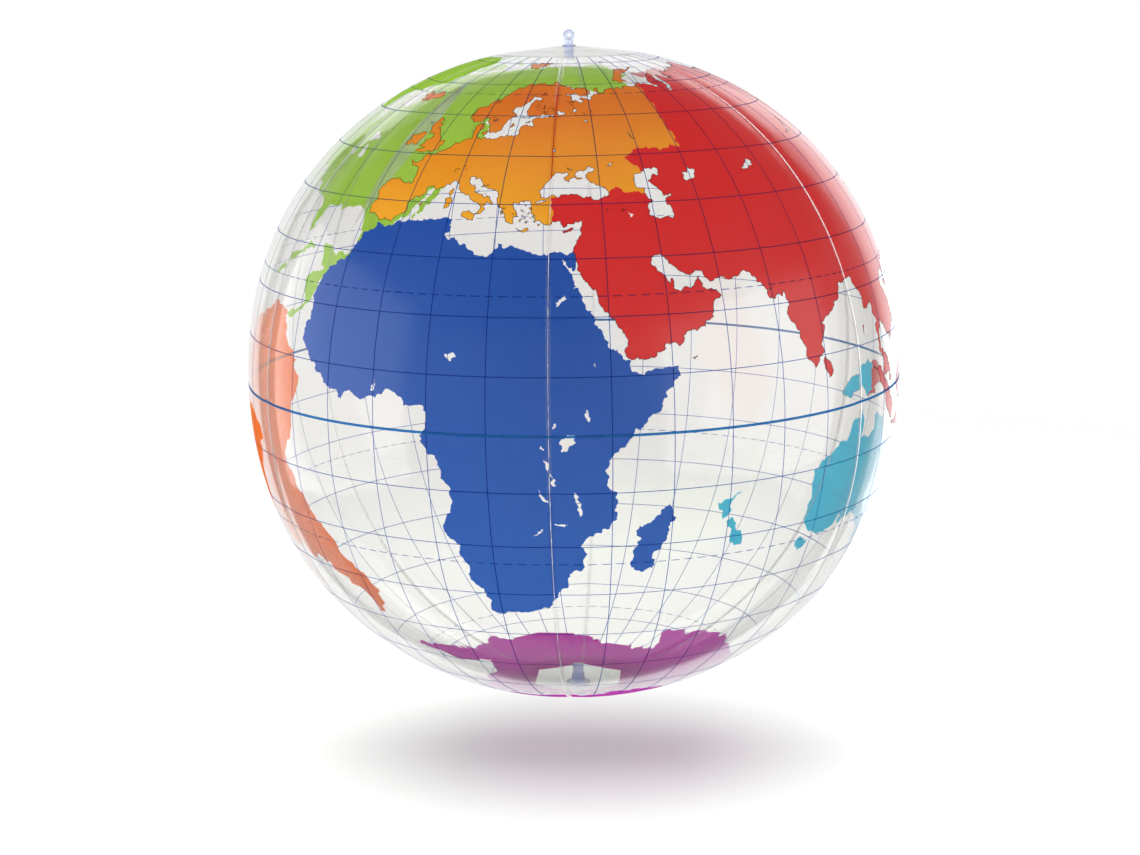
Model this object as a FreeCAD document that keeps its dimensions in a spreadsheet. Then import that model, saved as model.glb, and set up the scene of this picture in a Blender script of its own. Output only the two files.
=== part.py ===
import FreeCAD, Part
import math
import os
import Sketcher

# Inflatable globe of clear PVC film, blown up: six welded gores, a round patch over
# each pole, a hanging plug in the north patch and an air valve in the south one.
# Origin at the middle of the ball, +Z through the north pole, -Y through 30 degrees
# east and +X through 120 degrees east.
#
# Each fitting is drawn in its own frame: its axis is Z, and height 0 is the level of
# the pole, so positive heights stand outside the ball and negative ones inside.

GORES = [
    "gore_australia",
    "gore_pacific",
    "gore_north_america",
    "gore_atlantic",
    "gore_west_africa",
    "gore_east_africa",
]

SIZES = [
    ("ball_radius", 343.0, "outside of the film, at the equator and at the poles"),
    ("crown_flat", 13.0, "flat round each pole, and half the straight belt at the equator"),
    ("film", 0.3, "thickness of the film"),
    ("gore_count", len(GORES), "gores round the ball"),
    ("gore_tip", 45.0, "from the axis to the straight cut across each gore's tip"),
    ("lap_width", 5.0, "welded lap over each seam"),
    ("lap_gap", 2.0, "between a lap's end and the patch"),
    ("patch_radius", 70.0, "polar patch"),
    ("patch_clearance", 0.4, "patch's hole outside the flange's bore"),
    ("flange_radius", 13.0, "flange welded under the patch"),
    ("flange_thick", 0.8, ""),
    ("flange_bore", 7.6, "radius that the fitting slides out through"),
    ("skirt_wall", 0.6, "thin cone that folds when a fitting pops out"),
    ("skirt_depth", 8.0, ""),
    ("skirt_taper", 1.6, "how much narrower the cone is at its inner end"),
    ("ring_thick", 1.0, "rim that joins the cone to the stem"),
    ("stem_bore", 4.0, "hole that the plugs sit in"),
    ("stem_wall", 1.25, "wall of the stem between the rim and its mouth"),
    ("sleeve_radius", 6.0, "outside of the stem, inward of the rim"),
    ("plug_clearance", 0.05, "round a plug's shank"),
    ("side_clearance", 0.3, "round the collar that passes through the flange"),
    ("valve_sleeve", 10.0, "length of the valve's stem inward of the rim"),
    ("valve_recess", 1.5, "valve's mouth below the pole's level"),
    ("cap_radius", 6.4, "valve plug's head, and the bead round the valve's mouth"),
    ("cap_thick", 1.2, ""),
    ("bead_thick", 0.8, "bead round the valve's mouth"),
    ("valve_shank", 6.5, "length of the valve plug in the stem"),
    ("strap_thick", 0.5, "strap from the bead to the plug's head"),
    ("strap_width", 2.4, ""),
    ("flap_radius", 5.4, "check flap on the valve's inner end"),
    ("flap_thick", 0.3, ""),
    ("hang_sleeve", 3.2, "length of the hanging socket inward of the rim"),
    ("socket_floor", 1.0, "closed end of the hanging socket"),
    ("hang_shank", 10.6, "length of the hanging plug in its socket"),
    ("snap_depth", 5.7, "from the socket's mouth to its snap groove"),
    ("snap_width", 2.4, "snap groove"),
    ("snap_height", 0.9, "how far the groove goes into the wall"),
    ("snap_clearance", 0.3, "round the plug's bead in the groove"),
    ("collar_thick", 1.6, "hanging plug's collar"),
    ("neck_radius", 4.5, "hanging plug's neck"),
    ("neck_height", 5.5, ""),
    ("eye_radius", 5.8, "hanging plug's eye"),
    ("eye_height", 10.4, ""),
    ("eye_thick", 5.0, ""),
    ("eye_hole", 1.8, "radius of the hole for the hanging line"),
    ("eye_round", 1.2, "rounding of the eye's rim"),
]

ORIGIN = -1
START = 1
END = 2
CENTRE = 3

doc = FreeCAD.newDocument("inflatable_globe")
sheet = doc.addObject("Spreadsheet::Sheet", "sizes")
for row, (alias, value, note) in enumerate(SIZES, 1):
    sheet.set(f"A{row}", str(value))
    sheet.setAlias(f"A{row}", alias)
    sheet.set(f"B{row}", note)
doc.recompute()


def number(owner, text):
    """Value of a sheet expression, in mm or degrees."""
    found = owner.evalExpression(text)
    return float(getattr(found, "Value", found))


def new_sketch(body, name, plane="XZ_Plane"):
    sketch = body.newObject("Sketcher::SketchObject", name)
    role = [f for f in body.Origin.OriginFeatures if f.Role == plane][0]
    sketch.AttachmentSupport = [(role, "")]
    sketch.MapMode = "FlatFace"
    return sketch


def bind(sketch, kind, points, text):
    """Adds one dimension that the sheet drives."""
    index = sketch.addConstraint(Sketcher.Constraint(kind, *points, number(sketch, text)))
    sketch.setExpression(f"Constraints[{index}]", text)


def pin(sketch, edge, end, across, up):
    """Places an edge's end by its two distances from the sketch's origin."""
    bind(sketch, "DistanceX", (ORIGIN, START, edge, end), across)
    bind(sketch, "DistanceY", (ORIGIN, START, edge, end), up)


def line(sketch, first, second):
    """Straight edge between two ends of other edges."""
    ends = [sketch.getPoint(*first), sketch.getPoint(*second)]
    edge = sketch.addGeometry(Part.LineSegment(*ends))
    sketch.addConstraint(Sketcher.Constraint("Coincident", edge, START, *first))
    sketch.addConstraint(Sketcher.Constraint("Coincident", edge, END, *second))


def arc(sketch, centre, radius, first, last):
    """Arc whose centre and radius the sheet drives; the angles are where it is first drawn."""
    middle = FreeCAD.Vector(number(sketch, centre[0]), number(sketch, centre[1]), 0)
    circle = Part.Circle(middle, FreeCAD.Vector(0, 0, 1), number(sketch, radius))
    edge = sketch.addGeometry(Part.ArcOfCircle(circle, first, last))
    pin(sketch, edge, CENTRE, *centre)
    bind(sketch, "Radius", (edge,), radius)
    return edge


def outline(body, name, corners, plane="XZ_Plane"):
    """Closed outline with straight sides; a corner is its distance across and its height."""
    sketch = new_sketch(body, name, plane)
    places = [FreeCAD.Vector(number(body, x), number(body, z), 0) for x, z in corners]
    for n, place in enumerate(places):
        sketch.addGeometry(Part.LineSegment(places[n - 1], place))
    for n, (across, up) in enumerate(corners):
        following = (n + 1) % len(corners)
        sketch.addConstraint(Sketcher.Constraint("Coincident", n, END, following, START))
        pin(sketch, n, END, across, up)
    return sketch


def round_hole(body, name, radius, plane="XY_Plane", up="0"):
    """Sketch of one circle on the body's axis."""
    sketch = new_sketch(body, name, plane)
    middle = FreeCAD.Vector(0, number(body, up), 0)
    circle = Part.Circle(middle, FreeCAD.Vector(0, 0, 1), number(body, radius))
    edge = sketch.addGeometry(circle)
    pin(sketch, edge, CENTRE, "0", up)
    bind(sketch, "Radius", (edge,), radius)
    return sketch


def revolve(body, name, sketch, angle="360", kind="Revolution"):
    """Turns a sketch about the body's Z axis, half the angle to each side."""
    turned = body.newObject(f"PartDesign::{kind}", name)
    turned.Profile = sketch
    turned.ReferenceAxis = (sketch, ["V_Axis"])
    turned.Midplane = True
    turned.setExpression("Angle", angle)
    return turned


def pad(body, name, sketch, length):
    block = body.newObject("PartDesign::Pad", name)
    block.Profile = sketch
    block.SideType = "Symmetric"
    block.setExpression("Length", length)
    return block


def cut_through(body, name, sketch):
    cut = body.newObject("PartDesign::Pocket", name)
    cut.Profile = sketch
    cut.SideType = "Symmetric"
    cut.Type = "ThroughAll"
    return cut


def new_body(name, north=True):
    """Body of a fitting, standing on the north pole or hanging from the south one."""
    body = doc.addObject("PartDesign::Body", name)
    body.Label = name
    if north:
        body.setExpression("Placement.Base.z", "sizes.ball_radius")
    else:
        body.Placement.Rotation = FreeCAD.Rotation(FreeCAD.Vector(1, 0, 0), 180)
        body.setExpression("Placement.Base.z", "-sizes.ball_radius")
    return body


# ---- film

BEND_OUTSIDE = "sizes.ball_radius - sizes.crown_flat"
BEND_INSIDE = "sizes.ball_radius - sizes.crown_flat - sizes.film"
BEND_LAP = "sizes.ball_radius - sizes.crown_flat + sizes.film"


def meridian(body, name, inside, outside, first):
    """Layer of film from pole to pole, between two bend radii, starting where the ball is first wide."""
    sketch = new_sketch(body, name)
    flat = "sizes.crown_flat"
    edges = []
    for radius in (outside, inside):
        reach = (number(body, first) - number(body, flat)) / number(body, radius)
        top = math.acos(reach)
        north = arc(sketch, (flat, flat), radius, 0, top)
        south = arc(sketch, (flat, f"-{flat}"), radius, -top, 0)
        bind(sketch, "DistanceY", (ORIGIN, START, north, START), flat)
        bind(sketch, "DistanceY", (ORIGIN, START, south, END), f"-{flat}")
        bind(sketch, "DistanceX", (ORIGIN, START, north, END), first)
        bind(sketch, "DistanceX", (ORIGIN, START, south, START), first)
        line(sketch, (north, START), (south, END))
        edges.append((north, south))
    (north_out, south_out), (north_in, south_in) = edges
    line(sketch, (north_out, END), (north_in, END))
    line(sketch, (south_out, START), (south_in, START))
    return sketch


def gore(name, place):
    """One gore, its tips cut straight, with the lap that covers the seam on its east side."""
    body = doc.addObject("PartDesign::Body", name)
    body.Label = name
    leaf = meridian(body, f"{name}_leaf", BEND_INSIDE, BEND_OUTSIDE, "sizes.crown_flat")
    revolve(body, f"{name}_film", leaf, "360 / sizes.gore_count")
    tip = "sizes.gore_tip"
    corners = [(f"-{tip}", f"-{tip}"), (tip, f"-{tip}"), (tip, tip), (f"-{tip}", tip)]
    cut_through(body, f"{name}_tips", outline(body, f"{name}_tip", corners, "XY_Plane"))
    lap = meridian(
        body, f"{name}_lap", BEND_OUTSIDE, BEND_LAP, "sizes.patch_radius + sizes.lap_gap"
    )
    lap.AttachmentOffset = FreeCAD.Placement(
        FreeCAD.Vector(), FreeCAD.Rotation(FreeCAD.Vector(0, 1, 0), 180 / len(GORES))
    )
    lap.setExpression("AttachmentOffset.Rotation.Angle", "180 / sizes.gore_count")
    revolve(body, f"{name}_seam", lap, "sizes.lap_width / sizes.ball_radius * 180 / pi")
    body.Placement.Rotation = FreeCAD.Rotation(FreeCAD.Vector(0, 0, 1), 1)
    body.setExpression("Placement.Rotation.Angle", f"{place} * 360 / sizes.gore_count")


def patch(name, north):
    """Round piece of film over the gores' cut tips, flat in the middle, with the fitting's hole."""
    body = new_body(name, north)
    sketch = new_sketch(body, f"{name}_leaf")
    flat = "sizes.crown_flat"
    level = "sizes.crown_flat - sizes.ball_radius"
    hole = "sizes.flange_bore + sizes.patch_clearance"
    edges = []
    for radius, height in ((BEND_LAP, "sizes.film"), (BEND_OUTSIDE, "0")):
        reach = (number(body, "sizes.patch_radius") - number(body, flat)) / number(body, radius)
        bend = arc(sketch, (flat, level), radius, math.acos(reach), math.pi / 2)
        bind(sketch, "DistanceX", (ORIGIN, START, bend, START), "sizes.patch_radius")
        bind(sketch, "DistanceX", (ORIGIN, START, bend, END), flat)
        start = FreeCAD.Vector(number(body, hole), number(body, height), 0)
        crown = sketch.addGeometry(Part.LineSegment(start, sketch.getPoint(bend, END)))
        sketch.addConstraint(Sketcher.Constraint("Coincident", crown, END, bend, END))
        pin(sketch, crown, START, hole, height)
        edges.append((bend, crown))
    (bend_out, crown_out), (bend_in, crown_in) = edges
    line(sketch, (bend_out, START), (bend_in, START))
    line(sketch, (crown_out, START), (crown_in, START))
    revolve(body, f"{name}_film", sketch)


# ---- fittings: each is one soft moulding, drawn as flange, folding skirt and stem

RIM = "-sizes.flange_thick - sizes.skirt_depth"
RIM_BELOW = f"{RIM} - sizes.ring_thick"
RIM_RADIUS = "sizes.flange_bore + sizes.skirt_wall - sizes.skirt_taper"
STEM_RADIUS = "sizes.stem_bore + sizes.stem_wall"
SHANK_RADIUS = "sizes.stem_bore - sizes.plug_clearance"


def flange(name, north):
    body = new_body(name, north)
    corners = [
        ("sizes.flange_bore", "0"),
        ("sizes.flange_radius", "0"),
        ("sizes.flange_radius", "-sizes.flange_thick"),
        ("sizes.flange_bore", "-sizes.flange_thick"),
    ]
    revolve(body, f"{name}_ring", outline(body, f"{name}_section", corners))


def skirt(name, north):
    """Thin cone between flange and rim, which turns itself inside out when the fitting pops out."""
    body = new_body(name, north)
    top = "-sizes.flange_thick"
    corners = [
        ("sizes.flange_bore", top),
        ("sizes.flange_bore + sizes.skirt_wall", top),
        (RIM_RADIUS, RIM),
        (f"{RIM_RADIUS} - sizes.skirt_wall", RIM),
    ]
    revolve(body, f"{name}_cone", outline(body, f"{name}_section", corners))


def stem(name, north, mouth, sleeve, bead):
    """Rim and stem of a fitting; the bead is a wider lip round the mouth, or none."""
    body = new_body(name, north)
    end = f"{RIM_BELOW} - {sleeve}"
    lip = [("sizes.cap_radius", mouth), ("sizes.cap_radius", f"{mouth} - sizes.bead_thick")]
    lip += [(STEM_RADIUS, f"{mouth} - sizes.bead_thick")]
    corners = [("sizes.stem_bore", mouth), *(lip if bead else [(STEM_RADIUS, mouth)])]
    corners += [
        (STEM_RADIUS, RIM),
        (RIM_RADIUS, RIM),
        (RIM_RADIUS, RIM_BELOW),
        ("sizes.sleeve_radius", RIM_BELOW),
        ("sizes.sleeve_radius", end),
        ("sizes.stem_bore", end),
    ]
    revolve(body, f"{name}_tube", outline(body, f"{name}_section", corners))
    return body, end


def hang_socket(name):
    """Blind socket with a snap groove, which holds the hanging plug but lets it turn."""
    body, end = stem(name, True, "0", "sizes.hang_sleeve", False)
    floor = [("0", end), ("sizes.sleeve_radius", end)]
    below = f"{end} - sizes.socket_floor"
    floor += [("sizes.sleeve_radius", below), ("0", below)]
    revolve(body, f"{name}_floor", outline(body, f"{name}_floor_section", floor))
    groove = "sizes.stem_bore + sizes.snap_height"
    foot = "-sizes.snap_depth - sizes.snap_width"
    corners = [("0", "-sizes.snap_depth"), (groove, "-sizes.snap_depth"), (groove, foot), ("0", foot)]
    sketch = outline(body, f"{name}_groove_section", corners)
    revolve(body, f"{name}_groove", sketch, kind="Groove")


def hang_plug(name):
    """Plug of one moulding: shank with snap bead, collar on the socket's mouth, neck, round eye."""
    body = new_body(name)
    bead = "sizes.stem_bore + sizes.snap_height - sizes.snap_clearance"
    bead_top = "-sizes.snap_depth - sizes.snap_clearance"
    bead_foot = "-sizes.snap_depth - sizes.snap_width + sizes.snap_clearance"
    collar = "sizes.flange_bore - sizes.side_clearance"
    neck_top = "sizes.collar_thick + sizes.neck_height"
    eye_middle = f"{neck_top} + sizes.eye_height - sizes.eye_radius"
    disc = round_hole(body, f"{name}_eye", "sizes.eye_radius", "XZ_Plane", eye_middle)
    eye = pad(body, f"{name}_disc", disc, "sizes.eye_thick")
    doc.recompute()
    rounding = body.newObject("PartDesign::Fillet", f"{name}_round")
    rounding.Base = (eye, eye_rims(eye))
    rounding.setExpression("Radius", "min(sizes.eye_round; sizes.eye_thick / 3)")
    corners = [
        ("0", neck_top),
        ("sizes.neck_radius", neck_top),
        ("sizes.neck_radius", "sizes.collar_thick"),
        (collar, "sizes.collar_thick"),
        (collar, "0"),
        (SHANK_RADIUS, "0"),
        (SHANK_RADIUS, bead_top),
        (bead, bead_top),
        (bead, bead_foot),
        (SHANK_RADIUS, bead_foot),
        (SHANK_RADIUS, "-sizes.hang_shank"),
        ("0", "-sizes.hang_shank"),
    ]
    revolve(body, f"{name}_turned", outline(body, f"{name}_section", corners))
    hole = round_hole(body, f"{name}_hole", "sizes.eye_hole", "XZ_Plane", eye_middle)
    cut_through(body, f"{name}_bore", hole)


def eye_rims(eye):
    """Names of the two round edges of the eye's disc."""
    edges = enumerate(eye.Shape.Edges, 1)
    return [f"Edge{n}" for n, edge in edges if isinstance(edge.Curve, Part.Circle)]


def valve_plug(name):
    """Push-in stopper: flat head on the valve's mouth and a tapered shank in its bore."""
    body = new_body(name, north=False)
    seat = "-sizes.valve_recess"
    foot = f"{seat} - sizes.valve_shank"
    corners = [
        ("0", f"{seat} + sizes.cap_thick"),
        ("sizes.cap_radius", f"{seat} + sizes.cap_thick"),
        ("sizes.cap_radius", seat),
        (SHANK_RADIUS, seat),
        (SHANK_RADIUS, f"{foot} + sizes.valve_shank / 3"),
        (f"{SHANK_RADIUS} - sizes.stem_bore / 8", foot),
        ("0", foot),
    ]
    revolve(body, f"{name}_turned", outline(body, f"{name}_section", corners))


def valve_strap(name):
    """Short tongue that keeps the plug on the valve: from the bead's rim to the head's rim."""
    body = new_body(name, north=False)
    head = "-sizes.valve_recess + sizes.cap_thick"
    bead = "-sizes.valve_recess - sizes.bead_thick"
    outside = "sizes.cap_radius + sizes.strap_thick"
    corners = [("sizes.stem_bore", head), (outside, head), (outside, bead), ("sizes.stem_bore", bead)]
    pad(body, f"{name}_tongue", outline(body, f"{name}_section", corners), "sizes.strap_width")
    cut_through(body, f"{name}_ends", round_hole(body, f"{name}_end", "sizes.cap_radius"))


def check_flap(name):
    """Thin disc that air pressure holds against the inner end of the valve."""
    body = new_body(name, north=False)
    seat = f"{RIM_BELOW} - sizes.valve_sleeve"
    back = f"{seat} - sizes.flap_thick"
    corners = [("0", seat), ("sizes.flap_radius", seat), ("sizes.flap_radius", back), ("0", back)]
    revolve(body, f"{name}_disc", outline(body, f"{name}_section", corners))


# ---- assembly

for place, name in enumerate(GORES):
    gore(name, place)
patch("north_patch", True)
patch("south_patch", False)
flange("hang_flange", True)
skirt("hang_skirt", True)
hang_socket("hang_socket")
hang_plug("hang_plug")
flange("valve_flange", False)
skirt("valve_skirt", False)
stem("valve_stem", False, "-sizes.valve_recess", "sizes.valve_sleeve", True)
valve_plug("valve_plug")
valve_strap("valve_strap")
check_flap("check_flap")
doc.recompute()

bodies = [o for o in doc.Objects if o.TypeId == "PartDesign::Body"]
for made in doc.Objects:
    if "Invalid" in made.State or "Error" in made.State:
        raise RuntimeError(f"{made.Name} failed: {made.State}")
for body in bodies:
    if body.Shape.isNull() or not body.Shape.isValid() or len(body.Shape.Solids) != 1:
        raise RuntimeError(f"{body.Label} isn't one valid solid")

os.makedirs("parts", exist_ok=True)
for body in bodies:
    body.Shape.exportStep(os.path.join("parts", f"{body.Label}.step"))
    box = body.Shape.BoundBox
    print(f"{body.Label}: {box.XLength:.1f} x {box.YLength:.1f} x {box.ZLength:.1f} mm")
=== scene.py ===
import math

import bmesh
import bpy
import numpy as np
from mathutils import Matrix, Vector, noise
from mathutils.geometry import delaunay_2d_cdt


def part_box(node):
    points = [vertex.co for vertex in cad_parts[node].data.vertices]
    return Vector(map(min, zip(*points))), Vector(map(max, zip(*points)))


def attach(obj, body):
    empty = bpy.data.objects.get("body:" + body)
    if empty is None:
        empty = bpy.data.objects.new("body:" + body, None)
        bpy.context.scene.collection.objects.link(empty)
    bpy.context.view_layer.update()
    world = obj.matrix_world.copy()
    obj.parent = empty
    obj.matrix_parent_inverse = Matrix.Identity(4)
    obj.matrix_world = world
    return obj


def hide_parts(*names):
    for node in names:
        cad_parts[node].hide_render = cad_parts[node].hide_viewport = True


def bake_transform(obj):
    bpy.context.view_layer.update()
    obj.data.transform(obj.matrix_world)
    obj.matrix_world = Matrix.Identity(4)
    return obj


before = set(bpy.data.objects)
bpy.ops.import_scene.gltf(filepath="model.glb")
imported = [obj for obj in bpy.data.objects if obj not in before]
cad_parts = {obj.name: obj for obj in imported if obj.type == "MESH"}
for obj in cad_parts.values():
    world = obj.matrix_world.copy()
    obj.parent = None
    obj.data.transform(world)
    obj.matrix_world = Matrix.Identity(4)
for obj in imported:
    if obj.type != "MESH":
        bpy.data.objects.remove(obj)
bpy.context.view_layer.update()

# ---- Camera, floor and light
# The globe hangs over a pale floor that fades into a white backdrop, in a darker room. Soft
# boxes stand at its left, right, back and right rim and overhead. One more lamp lights only
# the floor, and a disc inside the globe, which only that lamp sees, throws the soft shadow.

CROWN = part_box("hang_flange")[1][2]
SEAM_EAST = 30.0
VIEW_LONGITUDE = 34.1
VIEW_ELEVATION = 10.3
VIEW_DISTANCE = 7.86 * CROWN
VIEW_ROLL = math.radians(0.85)
LENS_LENGTH = 80.05
LENS_SHIFT = (-0.0033, -0.0495)
FAR_CLIP = 200.0
FILMS_DEEP = 48


def aim(longitude, elevation):
    """Unit vector towards a longitude of the globe, raised by an elevation, both in degrees."""
    turn, rise = math.radians(longitude - SEAM_EAST), math.radians(elevation)
    level = math.cos(rise)
    return Vector((math.sin(turn) * level, -math.cos(turn) * level, math.sin(rise)))


def placed(name, data):
    """A new object that holds the data, linked to the scene."""
    made = bpy.data.objects.new(name, data)
    bpy.context.scene.collection.objects.link(made)
    return made


def facing_back(way, distance):
    """Place at a distance along a way, turned to look back at the middle."""
    return Matrix.Translation(way * distance) @ way.to_track_quat("Z", "Y").to_matrix().to_4x4()


lens = bpy.data.cameras.new("camera")
lens.lens = LENS_LENGTH
lens.sensor_width = 36.0
lens.shift_x, lens.shift_y = LENS_SHIFT
lens.clip_end = FAR_CLIP
camera = placed("camera", lens)
outwards = aim(VIEW_LONGITUDE, VIEW_ELEVATION)
camera.matrix_world = facing_back(outwards, VIEW_DISTANCE) @ Matrix.Rotation(-VIEW_ROLL, 4, "Z")
bpy.context.scene.camera = camera
bpy.context.scene.view_settings.view_transform = "Standard"
bpy.context.scene.cycles.transparent_max_bounces = FILMS_DEEP


class Value:
    """A shader socket that takes part in sums: each operator adds its Math node."""

    def __init__(self, finish, socket):
        self.finish = finish
        self.socket = socket

    def maths(self, operation, *numbers):
        return self.finish.add("Math", dict(enumerate(numbers)), operation=operation)

    def __add__(self, other):
        return self.maths("ADD", self, other)

    def __sub__(self, other):
        return self.maths("SUBTRACT", self, other)

    def __mul__(self, other):
        return self.maths("MULTIPLY", self, other)

    def __pow__(self, other):
        return self.maths("POWER", self, other)


class Finish:
    """A node tree being filled: add() makes one node and gives back its output."""

    def __init__(self, owner):
        owner.use_nodes = True
        self.owner = owner
        self.tree = owner.node_tree
        self.tree.nodes.clear()

    def add(self, kind, sockets=None, output=0, stops=(), **settings):
        node = self.tree.nodes.new("ShaderNode" + kind)
        for name, setting in settings.items():
            setattr(node, name, setting)
        for stop, (place, colour) in zip(node.color_ramp.elements if stops else (), stops):
            stop.position = place
            stop.color = (*colour, 1.0)
        for name, given in (sockets or {}).items():
            if isinstance(given, Value):
                self.tree.links.new(given.socket, node.inputs[name])
            else:
                node.inputs[name].default_value = given
        return Value(self, node.outputs[output] if node.outputs else None)


def ramp(value, start, end, low=0.0, high=1.0, easing="SMOOTHSTEP"):
    """Low up to the start, high past the end, and a smooth way between them."""
    ends = {"Value": value, "From Min": start, "From Max": end, "To Min": low, "To Max": high}
    return value.finish.add("MapRange", ends, interpolation_type=easing)


def srgb(red, green, blue):
    """Linear colour from the 0 to 255 values of a paint card."""
    steps = [c / 255 for c in (red, green, blue)]
    linear = [c / 12.92 if c <= 0.04045 else ((c + 0.055) / 1.055) ** 2.4 for c in steps]
    return (*linear, 1.0)


WHITE = (1.0, 1.0, 1.0, 1.0)
FLOOR_PAINT = (0.392, 0.404, 0.398, 1.0)
FLOOR_DROP = 1.222 * CROWN
FLOOR_HALF = 9.0
FLOOR_LIFT = 0.3
FLOOR_FADE = (0.9, 2.2)
FILL_LEVEL = 1.16
FILL_OVERHEAD = 0.3
FILL_FALL = (0.1, 0.8)
BACKDROP_TURN = 175
BACKDROP_EDGE = math.cos(math.radians(41.0))
BACKDROP_BLUR = 0.02
BACKDROP_TOP = math.sin(math.radians(17.0))
TOP_BLUR = 0.04
DARK_ROOM = 0.16

world = bpy.data.worlds.new("sky")
world.cycles.sampling_method = "NONE"
bpy.context.scene.world = world
sky = Finish(world)
way = sky.add("TexCoord", output="Generated")
behind = aim(VIEW_LONGITUDE + BACKDROP_TURN, -VIEW_ELEVATION)
towards = sky.add("VectorMath", {0: way, 1: behind}, "Value", operation="DOT_PRODUCT")
backdrop = ramp(towards, BACKDROP_EDGE - BACKDROP_BLUR, BACKDROP_EDGE + BACKDROP_BLUR, DARK_ROOM)
height = sky.add("SeparateXYZ", {"Vector": way}, "Z")
below_top = ramp(height, BACKDROP_TOP - TOP_BLUR, BACKDROP_TOP + TOP_BLUR, 1.0, DARK_ROOM)
falling = ramp(height, *FILL_FALL, FILL_LEVEL, FILL_OVERHEAD, "LINEAR")
room = sky.add("Background", {"Color": WHITE, "Strength": backdrop * below_top})
fill = sky.add("Background", {"Color": WHITE, "Strength": falling})
white = sky.add("Background", {"Color": WHITE, "Strength": 1.0})
matt_ray = sky.add("LightPath", output="Is Diffuse Ray")
straight_ray = sky.add("LightPath", output="Is Camera Ray")
bent_ray = sky.add("LightPath", output="Is Transmission Ray")
lit = sky.add("MixShader", {0: matt_ray, 1: room, 2: fill})
mixed = sky.add("MixShader", {0: straight_ray + bent_ray, 1: lit, 2: white})
sky.add("OutputWorld", {"Surface": mixed})

floor_mesh = bpy.data.meshes.new("floor")
corners = [(-1, -1), (1, -1), (1, 1), (-1, 1)]
floor_mesh.from_pydata(
    [(x * FLOOR_HALF, y * FLOOR_HALF, -FLOOR_DROP) for x, y in corners], [], [(0, 1, 2, 3)]
)
floor = placed("floor", floor_mesh)
paint = Finish(bpy.data.materials.new("floor_paint"))
spot = paint.add("TexCoord", output="Object")
reach = paint.add("VectorMath", {0: spot}, "Value", operation="LENGTH")
matt = paint.add("BsdfDiffuse", {"Color": FLOOR_PAINT})
lift = paint.add("Emission", {"Color": WHITE, "Strength": FLOOR_LIFT})
lifted = paint.add("AddShader", {0: matt, 1: lift})
open_air = paint.add("BsdfTransparent")
faded = paint.add("MixShader", {0: ramp(reach, *FLOOR_FADE), 1: lifted, 2: open_air})
paint.add("OutputMaterial", {"Surface": faded})
floor_mesh.materials.append(paint.owner)
floor.visible_glossy = False

LAMP_DISTANCE = 2.6
floor_only = bpy.data.collections.new("floor_only")
floor_only.objects.link(floor)
all_but_floor = bpy.data.collections.new("all_but_floor")
all_but_floor.objects.link(floor)
all_but_floor.collection_objects[0].light_linking.link_state = "EXCLUDE"


def soft_box(name, aside, elevation, wide, tall, radiance, unseen_by=None, lights=None):
    """Area light that faces the globe from a longitude beside the camera's; white paper has radiance 1."""
    light = bpy.data.lights.new(name, "AREA")
    light.shape = "RECTANGLE"
    light.size, light.size_y = wide, tall
    light.energy = radiance * math.pi * wide * tall
    lamp = placed(name, light)
    lamp.visible_camera = False
    if unseen_by:
        setattr(lamp, "visible_" + unseen_by, False)
    if lights:
        lamp.light_linking.receiver_collection = lights
    lamp.matrix_world = facing_back(aim(VIEW_LONGITUDE + aside, elevation), LAMP_DISTANCE)
    return lamp


soft_box("left_box", -90, 0, 3.4, 2.5, 1.05)
soft_box("left_fill", -90, 0, 2.6, 2.5, 1.0, "glossy", all_but_floor)
soft_box("right_box", 62, 0, 3.4, 2.2, 1.0, "diffuse")
soft_box("back_box", 180, 33, 3.0, 0.8, 1.0, "diffuse")
soft_box("rim_box", 149, 4, 1.4, 2.8, 0.9, "diffuse")
soft_box("top_box", 0, 86, 1.5, 1.5, 3.0, "glossy", all_but_floor)
floor_box = soft_box("floor_box", 0, 90, 2.0, 2.0, 16.0, "glossy", floor_only)

SHADE_WIDE = 0.72 * CROWN
SHADE_DEEP = 0.5 * CROWN
shade_shape = bmesh.new()
shade_scale = Matrix.Diagonal((SHADE_WIDE, SHADE_DEEP, 1.0, 1.0))
bmesh.ops.create_circle(shade_shape, cap_ends=True, segments=64, radius=1.0, matrix=shade_scale)
shade_mesh = bpy.data.meshes.new("shade")
shade_shape.to_mesh(shade_mesh)
shade_shape.free()
shade = placed("shade", shade_mesh)
for ray in ("camera", "diffuse", "glossy", "transmission", "volume_scatter"):
    setattr(shade, "visible_" + ray, False)
shaded_by = bpy.data.collections.new("shaded_by")
shaded_by.objects.link(shade)
floor_box.light_linking.blocker_collection = shaded_by

# ---- Printed gores
# Six leaves of clear vinyl film, 0.3 mm thick, printed flat with the map in one ink per
# continent, cut, and welded edge to edge. Blown up, each seam pulls in a little.

FILM = 0.0003
GORE_ANGLE = 60.0
GORE_NAMES = ("west_africa", "east_africa", "australia", "pacific", "north_america", "atlantic")
GORES = {"gore_" + name: SEAM_EAST + (n - 1) * GORE_ANGLE for n, name in enumerate(GORE_NAMES)}
GORE_TIP = 0.045
PATCH_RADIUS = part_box("north_patch")[1][0]
FLAT_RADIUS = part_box("hang_flange")[1][0]
PRINT_SHRINK = 0.928
SQUARENESS = 2.096
POLE_HEIGHT = 0.9962
SEAM_DIP = 0.0008
SEAM_REACH = 0.012
FOOT = POLE_HEIGHT * CROWN * (1 - (PATCH_RADIUS / CROWN) ** SQUARENESS) ** (1 / SQUARENESS)


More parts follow.
